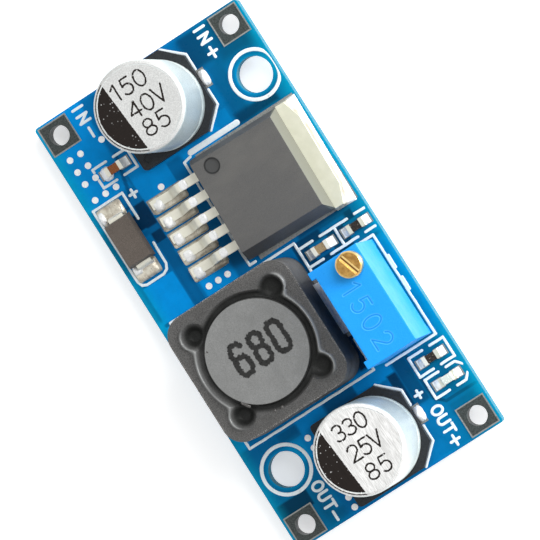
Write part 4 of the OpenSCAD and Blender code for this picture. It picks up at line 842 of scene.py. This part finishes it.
def board_sheet(name, areas, bare_lines, base, side, cuts, finish):
    """One face of the board under its mask: a grid whose height follows the copper below it. Grid points past
    the board's round corners are drawn in onto them, and faces inside the cuts (x, y, r) are left out. Rings
    of a fine pitch then close the way to the mounting holes."""
    x, y = np.meshgrid(np.linspace(-HALF_L, HALF_L, 433), np.linspace(-HALF_W, HALF_W, 212))
    corner = np.stack([np.sign(x) * (HALF_L - CORNER_R), np.sign(y) * (HALF_W - CORNER_R)], -1)
    out = np.stack([x, y], -1) - corner
    past = (np.abs(x) > HALF_L - CORNER_R) & (np.abs(y) > HALF_W - CORNER_R)
    share = np.where(past, np.minimum(1, CORNER_R / np.maximum(np.linalg.norm(out, axis=-1), 1e-9)), 1)
    x, y = np.moveaxis(corner + out * share[..., None], -1, 0)
    kept = np.ones(x.shape, bool)
    for cx, cy, r in cuts:
        kept &= np.hypot(x - cx, y - cy) > r
    points, faces, _ = keep_faces(np.stack([x, y, 0 * x], -1).reshape(-1, 3), grid_faces(212, 433), kept.ravel())
    rings = [turned([(MOUNT_RING_R + 0.2, 0), (MOUNT_R + 0.06, 0), (MOUNT_R, -0.012)], c) for c in MOUNT_HOLES]
    points, faces = joined([(points, faces)] + rings)
    level = copper_level(points[:, 0], points[:, 1], areas, bare_lines)
    points[:, 2] = base + side * (points[:, 2] + 0.012 * np.minimum(level, 0.7) / 0.7)
    return piece(name, points, faces if side > 0 else faces[:, ::-1], finish, "solder_mask",
                 fields={"copper": level})


def make_board_faces():
    """The masked upper and lower faces, left open at the holes and under the terminals' pads."""
    wire = [(*p, 1.25) for p in TERMINALS]
    mounts = [(*p, MOUNT_RING_R + 0.12) for p in MOUNT_HOLES]
    mask = mask_finish("solder_mask_face")
    board_sheet("mask_upper", UPPER_COPPER_AND_SHADE, UPPER_BARE_LINES, BOARD_T + 0.003, 1, wire + mounts, mask)
    pins = [(*middle(f"trimmer_pin_{i}")[:2], 0.5) for i in (1, 2, 3)]
    board_sheet("mask_lower", LOWER_COPPER, LOWER_BARE_LINES, -0.003, -1, wire + mounts + pins, mask)


def make_legend():
    """Words that name the terminals, and the lamp's plus sign, as beads of ink."""
    words = [("OUT+", 17.4, 21.2, 5.7, 1.08), ("OUT-", 17.4, 21.15, -6.66, 1.08),
             ("IN+", -21.2, -18.3, 5.95, 1.15), ("IN-", -21.2, -18.3, -6.8, 1.15)]
    runs = [run for text, x0, x1, y, wide in words for run in written(text, (x0, y), (x1, y), 0.98, (0, 1), wide)]
    runs += [line((-12.62, -6.15), (-11.88, -6.15)), line((-12.25, -6.5), (-12.25, -5.8))]
    runs += written("+", (15.4, 5.2), (16.1, 5.2), 0.82, (0, 1))
    piece("terminal_names", *ribbons(runs, 0.26, 0.026, INK_BASE), FINISH["legend_ink"], "legend_ink")


# Pen runs of the printed outlines, in mm on the board
OUTLINES = [
    [(2.14, 3.42), (-1.01, 3.42), (-1.01, -9.48), (2.14, -9.48)],
    [(8.74, 3.42), (11.89, 3.42), (11.89, -9.48), (8.74, -9.48)],
    [(-12.2, -0.2), (-12.05, -0.9), (-2.31, -0.9), (-2.31, -0.25)], [(-2.31, -0.88), (-1.51, -0.88), (-1.51, -0.25)],
    [(2.05, 4.55), (2.05, 9.65), (12.14, 9.65), (12.14, 4.55)], [(4.26, 9.84), (5.45, 9.84)],
    [(6.46, 9.84), (7.65, 9.84)],
    [(-10.2, -6.95), (-12.82, -6.95), (-12.82, -9.99), (-5.55, -9.99), (-5.1, -9.82), (-4.92, -9.4), (-4.92, -7.65),
     (-5.15, -7.2), (-5.6, -6.97), (-7.7, -6.95)],
    [(-0.34, 9.25), (-0.34, 10.35)], [(1.5, 9.25), (1.5, 10.35)],
    [(-0.34, 8.45), (-0.34, 5.69)], [(1.5, 8.45), (1.5, 5.69)], [(-0.34, 7.1), (1.5, 7.1)],
    [(-0.34, 4.89), (-0.34, 3.5)], [(1.5, 3.5), (1.5, 4.89)],
    [(12.71, 8.65), (12.71, 10.03), (14.59, 10.03), (14.59, 8.65)],
    [(12.71, 7.85), (12.71, 6.47), (14.59, 6.47), (14.59, 7.85)],
    [(15.02, 8.85), (15.02, 9.73), (15.5, 10.22)], [(16.88, 8.85), (16.88, 9.73), (16.4, 10.22)],
    [(15.02, 8.05), (15.02, 6.67), (16.88, 6.67), (16.88, 8.05)],
    [(-15.88, -5.9), (-15.88, -4.52), (-14.02, -4.52), (-14.02, -5.9)],
    [(-15.88, -6.7), (-15.88, -8.08), (-15.6, -8.08)], [(-14.8, -8.08), (-14.02, -8.08), (-14.02, -6.7)],
]


POINT_EVERY = 0.25


def drawn(path):
    """A pen run with points at about an even spacing along its straight lengths."""
    path = np.array(path, float)
    parts = [a + np.linspace(0, 1, max(int(np.hypot(*(b - a)) / POINT_EVERY), 1), endpoint=False)[:, None] * (b - a)
             for a, b in zip(path[:-1], path[1:])]
    return np.concatenate(parts + [path[-1:]])


def make_outlines():
    """The parts' printed outlines as beads of ink: straight lengths whose lines wander a little, a broad bar by
    the regulator, cut-cornered outlines of the capacitors, and rings round the mounting holes that are pressed
    in where they reach the board's edge."""
    paths = list(OUTLINES)
    for x, y, _ in (INPUT_CAN, OUTPUT_CAN):
        paths += [[(x + s * 1.05, y + 4.22), (x + s * 2.57, y + 4.22), (x + s * 4.15, y + 2.5)] for s in (-1, 1)]
    runs = [drawn(line(a, b)) for path in paths for a, b in zip(path[:-1], path[1:])]
    runs = [run + 0.012 * np.stack([rolling(*run.T, 1.5, 5), rolling(*run.T, 1.5, 6)], -1) for run in runs]
    rings = [bow(*c, MOUNT_RING_R + 0.38, MOUNT_RING_R + 0.38, 0, 360, 97) for c in MOUNT_HOLES]
    bar = ribbon(drawn([(-12.5, 0.05), (-12.5, 4.85)]), 0.56, 0.028, INK_BASE)
    parts = [ribbons(runs, 0.25, 0.024, INK_BASE), ribbons(rings, 0.34, 0.026, INK_BASE), bar]
    points, faces = joined(parts)
    y = points[:, 1]
    points[:, 1] = np.where(y > 10.1, 10.1 + 0.38 * np.tanh((y - 10.1) / 0.5), y)
    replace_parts(piece("printed_lines", points, faces, FINISH["legend_ink"], "legend_ink"), "printed_outlines")


# ---- Capacitors ----


def make_can_top(name, centre, lines, chord, finish):
    """The coated top of a can, a disc whose rim follows the can's rounded edge down: z falls by
    R - sqrt(R^2 - d^2) past the flat. Its print field is the distance past the polarity segment's straight edge
    and, near the rim, from two fine rings; its digits field is the distance from the pen strokes. Both are
    below zero on ink."""
    points, faces = round_sheet(centre, CAN_FACE_R + 0.33, 170, CAN_TOP + 0.008)
    x, y = points[:, 0], points[:, 1]
    r = np.hypot(x - centre[0], y - centre[1])
    down = CAN_EDGE_R - np.sqrt(CAN_EDGE_R ** 2 - np.clip(r - CAN_FACE_R, 0, CAN_EDGE_R * 0.99) ** 2)
    fold = 0.012 * (np.exp(-((r - 3.68) / 0.03) ** 2) - np.exp(-((r - 3.6) / 0.03) ** 2))
    points[:, 2] += fold - down
    a, b = np.array(chord, float)
    along = (b - a) / np.linalg.norm(b - a)
    past = (y - a[1]) * along[0] - (x - a[0]) * along[1]
    past = np.maximum(past, np.where(r < 3.66, r - 3.61, np.abs(r - 3.76) - 0.045))
    runs = [r for text, start, end, height, wide in lines
            for r in written(text, start, end, height, (-1, 0), wide)]
    piece(name, points, faces, finish, "can_aluminium",
          fields={"print": past, "digits": run_distance(x, y, runs) - 0.082})


def make_capacitor_tops():
    """Printed tops of both capacitors."""
    grainy = can_print_finish("can_top_grained", "d8d9d7", "bbbcbb", 0.12, False)
    streaked = can_print_finish("can_top_streaked", "f4f4f3", "c4c4c2", 0.16, True)
    make_can_top("input_capacitor_top", INPUT_CAN,
                 [("150", (-18.62, -1.4), (-18.62, 1.9), 1.45, 1.15),
                  ("40V", (-16.55, -0.9), (-16.55, 2.65), 1.45, 1.15),
                  ("85", (-14.65, -0.55), (-14.65, 1.75), 1.45, 1.15)],
                 [(-20.95, -1.72), (-13.6, -1.15)], grainy)
    make_can_top("output_capacitor_top", OUTPUT_CAN,
                 [("330", (15.78, -0.9), (15.78, 2.2), 1.4, 1.1),
                  ("25V", (17.88, -0.7), (17.88, 2.45), 1.4, 1.1),
                  ("85", (19.98, -0.2), (19.98, 2.0), 1.4, 1.15)],
                 [(14.0, -1.75), (20.75, -1.15)], streaked)


# ---- Inductor ----


def make_drum_face():
    """The drum's printed face, with straight-sided numbers read along Y."""
    points, faces = round_sheet(DRUM, DRUM_R - 0.02, 130, DRUM_TOP + 0.006)
    runs = written("680", (6.68, -5.15), (6.68, -0.15), 2.75, (-1, 0), 0.72, STAMPED)
    piece("inductor_face", points, faces, drum_print_finish(), "drum_ferrite",
          fields={"digits": run_distance(points[:, 0], points[:, 1], runs) - 0.265})


def opening_radius(a):
    """Radius of the shield's opening at an angle: its bore, or the far side of a corner pocket where that is
    further out."""
    far = np.full(a.shape, BORE_R)
    for quarter in (45, 135, 225, 315):
        d = a - np.radians(quarter)
        reach = POCKET_AT * np.sqrt(2)
        root = POCKET_R ** 2 - (reach * np.sin(d)) ** 2
        hit = (root > 0) & (np.cos(d) > 0)
        far = np.where(hit, np.maximum(far, reach * np.cos(d) + np.sqrt(np.maximum(root, 0))), far)
    return far


def shelf_distance(x, y):
    """Distance outside the shield's opening, less than zero over it: the least of the distances to its bore
    and to its four pockets, taken softly so that the corners between them are rounded."""
    away = [np.hypot(x, y) - BORE_R]
    for sx in (-1, 1):
        for sy in (-1, 1):
            away.append(np.hypot(x - sx * POCKET_AT, y - sy * POCKET_AT) - POCKET_R)
    return -0.16 * np.log(sum(np.exp(-np.clip(d, -3, 3) / 0.16) for d in away)) + 0.04


def make_core_crown():
    """Adhesive between drum and shield and the wetted edge of the shield round it. The height falls from the
    shield's top into a trough that is deeper in the pockets, climbs again to the drum, and is raised into lips
    along the opening's plus and minus sides. Its fields say how wet each point is, how dark, and how raised. The
    dark field is dark adhesive with painted shade in the gap and pockets, made lighter on the minus side as
    painted light; the lip field also sets a painted highlight on the lips."""
    a = np.linspace(0, 2 * np.pi, 540, endpoint=False)
    t = np.linspace(0, 1, 50)[::-1, None]
    inner, outer = DRUM_R + 0.01, opening_radius(a) + 0.62
    r = inner + (outer - inner) * t
    x, y = r * np.cos(a), r * np.sin(a)
    shelf = shelf_distance(x, y)
    to_pocket = np.hypot(np.abs(x) - POCKET_AT, np.abs(y) - POCKET_AT)
    pocket = smooth_step(-to_pocket, -1.7, -0.5)
    from_drum = r - DRUM_R
    bank = 0.3 + 0.42 * smooth_step(-np.sin(a), 0.2, 0.9)
    trough = smooth_step(-shelf / bank, -0.3, 1.1) * smooth_step(from_drum, -0.05, 0.16)
    z = DRUM_TOP + 0.006 - 0.5 * trough - 0.35 * pocket * smooth_step(-shelf, -0.1, 0.8)
    side = np.abs(np.sin(a))
    # The lip field raises the lips and also sets their painted highlight
    lip = smooth_step(side, 0.6, 0.78) * (1 + 0.25 * rolling(7 * np.cos(a), 7 * np.sin(a), 5, 3))
    lip = np.where(np.sin(a) > 0, lip, 0.6 * lip) * np.exp(-((shelf - 0.08) / 0.17) ** 2)
    z = z + 0.26 * lip + 0.05 * rolling(x, y, 1.1, 4) * trough
    z = np.where(shelf > 0, np.maximum(z, DRUM_TOP + 0.005), z)
    fade = smooth_step(shelf, 0.4, 0.6)
    z = z * (1 - fade) + (DRUM_TOP + 0.004) * fade
    # Dark adhesive with painted shade in the gap and pockets, painted lighter on the minus side where light falls
    dark = np.maximum(smooth_step(-shelf, -0.06, 0.36) * smooth_step(from_drum, 0.0, 0.12),
                      0.85 * pocket * smooth_step(-shelf, -0.5, 0.4))
    dark = dark * (1 - 0.45 * smooth_step(-np.sin(a), 0.45, 0.8) * (1 - pocket))
    wet = smooth_step(-shelf, -0.5, -0.05) * (0.4 + 0.6 * smooth_step(side, 0.3, 0.7))
    points = np.stack([DRUM[0] + x, DRUM[1] + y, z], -1).reshape(-1, 3)
    crown = piece("core_crown", points, grid_faces(50, 540, wrap=True), shield_finish("core_crown", True), "glue",
                  fields={"wet": wet.ravel(), "dark": dark.ravel(), "lip": lip.ravel()})
    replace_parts(crown, "inductor_glue")


def make_glue_glints():
    """Small clear drops of adhesive that were left on the drum and its edge."""
    drops = [((8.85, -6.25), (0.34, 0.13, 0.1), 35), ((8.5, -6.5), (0.16, 0.1, 0.07), 20),
             ((10.6, -3.75), (0.14, 0.14, 0.12), 0), ((10.5, -4.45), (0.12, 0.12, 0.1), 0),
             ((3.2, -6.7), (0.1, 0.08, 0.05), 0)]
    parts = []
    for i, (at, half, turn) in enumerate(drops):
        points, faces = bead((0, 0), half, DRUM_TOP - 0.01, 0.6, seed=20 + i, count=13)
        parts.append((spun(points, turn) + (*at, 0), faces))
    piece("adhesive_drops", *joined(parts), FINISH["glue"], "glue")


# ---- Trimmer ----


def make_trimmer_top():
    """The trimmer's top with its value engraved: a grid over the housing's outline, lowered along the strokes
    by a bell curve of the distance, with fine lips beside them, and eased down at the outline."""
    x0, y0, x1, y1 = *TRIMMER_LOW[:2], *TRIMMER_HIGH[:2]
    x, y = np.meshgrid(np.linspace(x0, x1, 235), np.linspace(y0, y1, 118))
    rib, rib_w = 0.42, 0.7
    body = (y > y0 + rib - 0.01) | (x < x0 + rib_w + 0.01) | (x > x1 - rib_w - 0.01)
    kept = body & (np.hypot(x - SCREW[0], y - SCREW[1]) > 1.0)
    runs = written("1502", (5.0, 6.15), (10.95, 6.15), 1.7, (0, 1))
    d = run_distance(x, y, runs)
    inner = np.maximum(box_distance(x, y, (x0, y0 + rib, x1, y1)), -9)
    for a, b in ((x0, x0 + rib_w), (x1 - rib_w, x1)):
        inner = np.minimum(inner, box_distance(x, y, (a, y0, b, y1)))
    ease = 0.022 * (1 - smooth_step(-inner, 0.0, 0.08))
    z = TRIMMER_HIGH[2] + 0.026 - ease - 0.02 * np.exp(-(d / 0.07) ** 2) + 0.008 * np.exp(-((d - 0.15) / 0.05) ** 2)
    points, faces, used = keep_faces(np.stack([x, y, z], -1).reshape(-1, 3), grid_faces(118, 235), kept.ravel())
    piece("trimmer_top", points, faces, trimmer_finish("trimmer_top_face", True), "trimmer_plastic",
          fields={"digits": d.ravel()[used]})


# ---- Solder and small parts ----


def make_solder_beads():
    """Bright drops of solder at the ends of the chips, on the diode's lands and at the capacitors' leads; their
    near-white is a painted highlight.
    """
    drops = []
    for name in ("divider_resistor", "divider_capacitor", "lamp_resistor"):
        low, high = ends(name + "_ends")
        x = (low[0] + high[0]) / 2
        for y, side in ((high[1], 1), (low[1], -1)):
            drops.append(((x, y + 0.16 * side), (0.42, 0.27, 0.3 + 0.1 * side)))
    low, high = ends("input_filter_capacitor_ends")
    x = (low[0] + high[0]) / 2
    drops.append(((x + 0.05, low[1] - 0.05), (0.62, 0.48, 0.7)))
    low, high = ends("lamp_ends")
    x = (low[0] + high[0]) / 2
    drops += [((x, high[1] + 0.12), (0.42, 0.42, 0.26)), ((x, low[1] - 0.14), (0.42, 0.3, 0.2))]
    drops += [((-11.8, -9.55), (0.62, 0.32, 0.6)), ((-6.4, -9.35), (0.5, 0.44, 0.7))]
    for can in ("input", "output"):
        low, high = ends(f"{can}_capacitor_lead_plus")
        drops.append((((low[0] + high[0]) / 2, high[1] - 0.05), (0.72, 0.42, 0.62)))
        low, high = ends(f"{can}_capacitor_lead_minus")
        drops.append((((low[0] + high[0]) / 2, low[1] + 0.05), (0.72, 0.42, 0.5)))
    parts = [bead(c, h, LAND_TOP, 0.6, seed=i) for i, (c, h) in enumerate(drops)]
    piece("solder_drops", *joined(parts), FINISH["solder"], "solder")


def make_lead_solder():
    """Solder round the regulator's lead feet and the diode's: a pool over each land, a rounder drop over each of the
    regulator's tips and a thin cap on each of its bends. The white caps on the bends are a painted highlight,
    and the pools' darker cloud is a painted reflection."""
    pools, drops = [], []
    for i in range(-2, 3):
        points, faces = pool(1.5, 3.5, 0.2, LAND_TOP, seed=40 + i)
        pools.append((points + (1.7 * i + 0.14, -7.88, 0), faces))
        points, faces = bead((0, 0), (0.6, 0.52, 0.56), BOARD_T + 0.06, 0.4, seed=50 + i)
        drops.append((points + (1.7 * i + 0.2, -8.85, 0), faces))
        # Painted highlight: a thin white cap where the lead's bend catches the light
        points, faces = bead((0, 0), (0.43, 0.36, 0.1), REG_LEAD_TOP - 0.015, 0.5, seed=60 + i)
        drops.append((points + (1.7 * i, -5.72, 0), faces))
    points, faces = joined(pools)
    pools = [(spun(points, REG_TURN) + (*REG_AT, 0), faces)]
    for x, width in ((-11.86, 1.62), (-6.02, 1.5)):
        points, faces = pool(width, 2.4, 0.34, LAND_TOP, seed=int(-x))
        pools.append((points + (x, -8.66, 0), faces))
    piece("run_solder_painted_reflection", *joined(pools), FINISH["run_solder_painted_reflection"], "solder")
    points, faces = joined(drops)
    piece("regulator_lead_solder_and_bend_highlights", spun(points, REG_TURN) + (*REG_AT, 0), faces, FINISH["solder"], "solder")


def make_tab_solder():
    """Solder round the regulator's tab: its height falls off as an exponential of the distance from the tab's
    cut-cornered outline and is rounded down at the edges of the land; under the tab it stays low."""
    u, v = np.meshgrid(np.linspace(-5.3, 5.3, 160), np.linspace(4.3, 6.24, 44))
    a, b = TAB_HALF, TAB_END
    cut_x, cut_y = TAB_CUT
    outline = line((-a, 4.0), (-a, b - cut_y), (cut_x - a, b), (a - cut_x, b), (a, b - cut_y), (a, 4.0))
    slant = b - cut_y * np.clip((np.abs(u) - a + cut_x) / cut_x, 0, 1)
    away = np.where((np.abs(u) < a) & (v < slant), 0.0, run_distance(u, v, [outline]))
    edge = smooth_step(-box_distance(u, v, (-5.32, 0, 5.32, 6.25)), 0.0, 0.22)
    z = BOARD_T + 0.07 + (0.25 + 0.7 * np.exp(-away / 0.22)) * edge * (1 + 0.12 * rolling(u, v, 1.6, 9) * (away > 0))
    points = spun(np.stack([u, v, z], -1).reshape(-1, 3), REG_TURN) + (*REG_AT, 0)
    piece("regulator_tab_solder", points, grid_faces(44, 160), FINISH["tab_solder"], "solder",
          fields={"away": away.ravel()})


# ---- Room, lamps and camera ----


def make_floor():
    """A plain pale floor. It is white where it is seen straight or in a gloss, and keeps the module's shadow."""
    f = Finish("floor")
    seen = f.node("ShaderNodeLightPath")
    share = f.sum("MAXIMUM", f.sum("MAXIMUM", seen.outputs["Is Camera Ray"], seen.outputs["Is Glossy Ray"]),
                  seen.outputs["Is Transmission Ray"])
    f.put(f.shader.inputs["Base Color"], tint("f4f4f4"))
    f.put(f.shader.inputs["Roughness"], 0.9)
    glow = f.node("ShaderNodeEmission")
    f.put(glow.inputs["Strength"], f.sum("MULTIPLY", share, 0.45))
    both = f.node("ShaderNodeAddShader")
    f.tree.links.new(f.shader.outputs[0], both.inputs[0])
    f.tree.links.new(glow.outputs[0], both.inputs[1])
    f.tree.links.new(both.outputs[0], f.tree.nodes["Material Output"].inputs["Surface"])
    x, y = np.meshgrid(np.linspace(-900, 900, 9), np.linspace(-900, 900, 9))
    low = min(CAD_BOX[0][2] / MM, -1.0)
    floor = piece("floor", np.stack([x, y, np.full(x.shape, low)], -1).reshape(-1, 3), grid_faces(9, 9),
                  f.material, None, body=None)


def make_world():
    """A white room: dim light on the module, plain white where it is seen or mirrored."""
    world = bpy.data.worlds.new("room")
    bpy.context.scene.world = world
    world.use_nodes = True
    tree = world.node_tree
    back = tree.nodes["Background"]
    back.inputs["Color"].default_value = (1, 1, 1, 1)
    seen = tree.nodes.new("ShaderNodeLightPath")
    share = tree.nodes.new("ShaderNodeMapRange")
    share.inputs["To Min"].default_value = ROOM_LIGHT
    share.inputs["To Max"].default_value = 1.0
    most = "Is Camera Ray"
    for ray in ("Is Glossy Ray", "Is Transmission Ray"):
        either = tree.nodes.new("ShaderNodeMath")
        either.operation = "MAXIMUM"
        tree.links.new(seen.outputs[most] if isinstance(most, str) else most, either.inputs[0])
        tree.links.new(seen.outputs[ray], either.inputs[1])
        most = either.outputs[0]
    tree.links.new(most, share.inputs["Value"])
    tree.links.new(share.outputs[0], back.inputs["Strength"])


ROOM_LIGHT = 0.66
# Soft lamps: name, place in mm, size in mm, power in watts
LAMPS = [
    ("lamp_over", (-110, 250, 360), 220, 0.95),
    ("lamp_plus_side", (40, 420, 110), 180, 2.0),
]


def make_lamps():
    """Square soft lamps, each turned to face the module."""
    for name, place, size, power in LAMPS:
        light = bpy.data.lights.new(name, "AREA")
        light.shape = "SQUARE"
        light.size = size * MM
        light.energy = power
        lamp = bpy.data.objects.new(name, light)
        back = np.array(place, float) / np.linalg.norm(place)
        right = np.cross((0, 0, 1), back)
        right /= np.linalg.norm(right)
        aim = Matrix(np.stack([right, np.cross(back, right), back], -1).tolist()).to_4x4()
        aim.translation = [v * MM for v in place]
        lamp.matrix_world = aim
        bpy.context.scene.collection.objects.link(lamp)


def make_camera():
    """A long lens high over the module, turned so that the input end is up and to the left."""
    view = bpy.data.cameras.new("camera")
    view.lens = 330.21
    view.sensor_width = 36
    view.clip_start = 0.01
    view.clip_end = 10
    camera = bpy.data.objects.new("camera", view)
    aim = Matrix(((0.53408, 0.82983, -0.16166), (-0.84374, 0.53528, -0.03983), (0.05348, 0.15767, 0.98604)))
    aim = Matrix(np.array(aim).T.tolist()).to_4x4()
    aim.translation = (0.022701, 0.067959, 0.423989)
    camera.matrix_world = aim
    bpy.context.scene.collection.objects.link(camera)
    bpy.context.scene.camera = camera


bpy.context.scene.view_settings.view_transform = "Standard"
dress_solids()
make_board_faces()
make_legend()
make_outlines()
make_capacitor_tops()
make_drum_face()
make_core_crown()
make_glue_glints()
make_trimmer_top()
make_solder_beads()
make_lead_solder()
make_tab_solder()
make_floor()
make_world()
make_lamps()
make_camera()
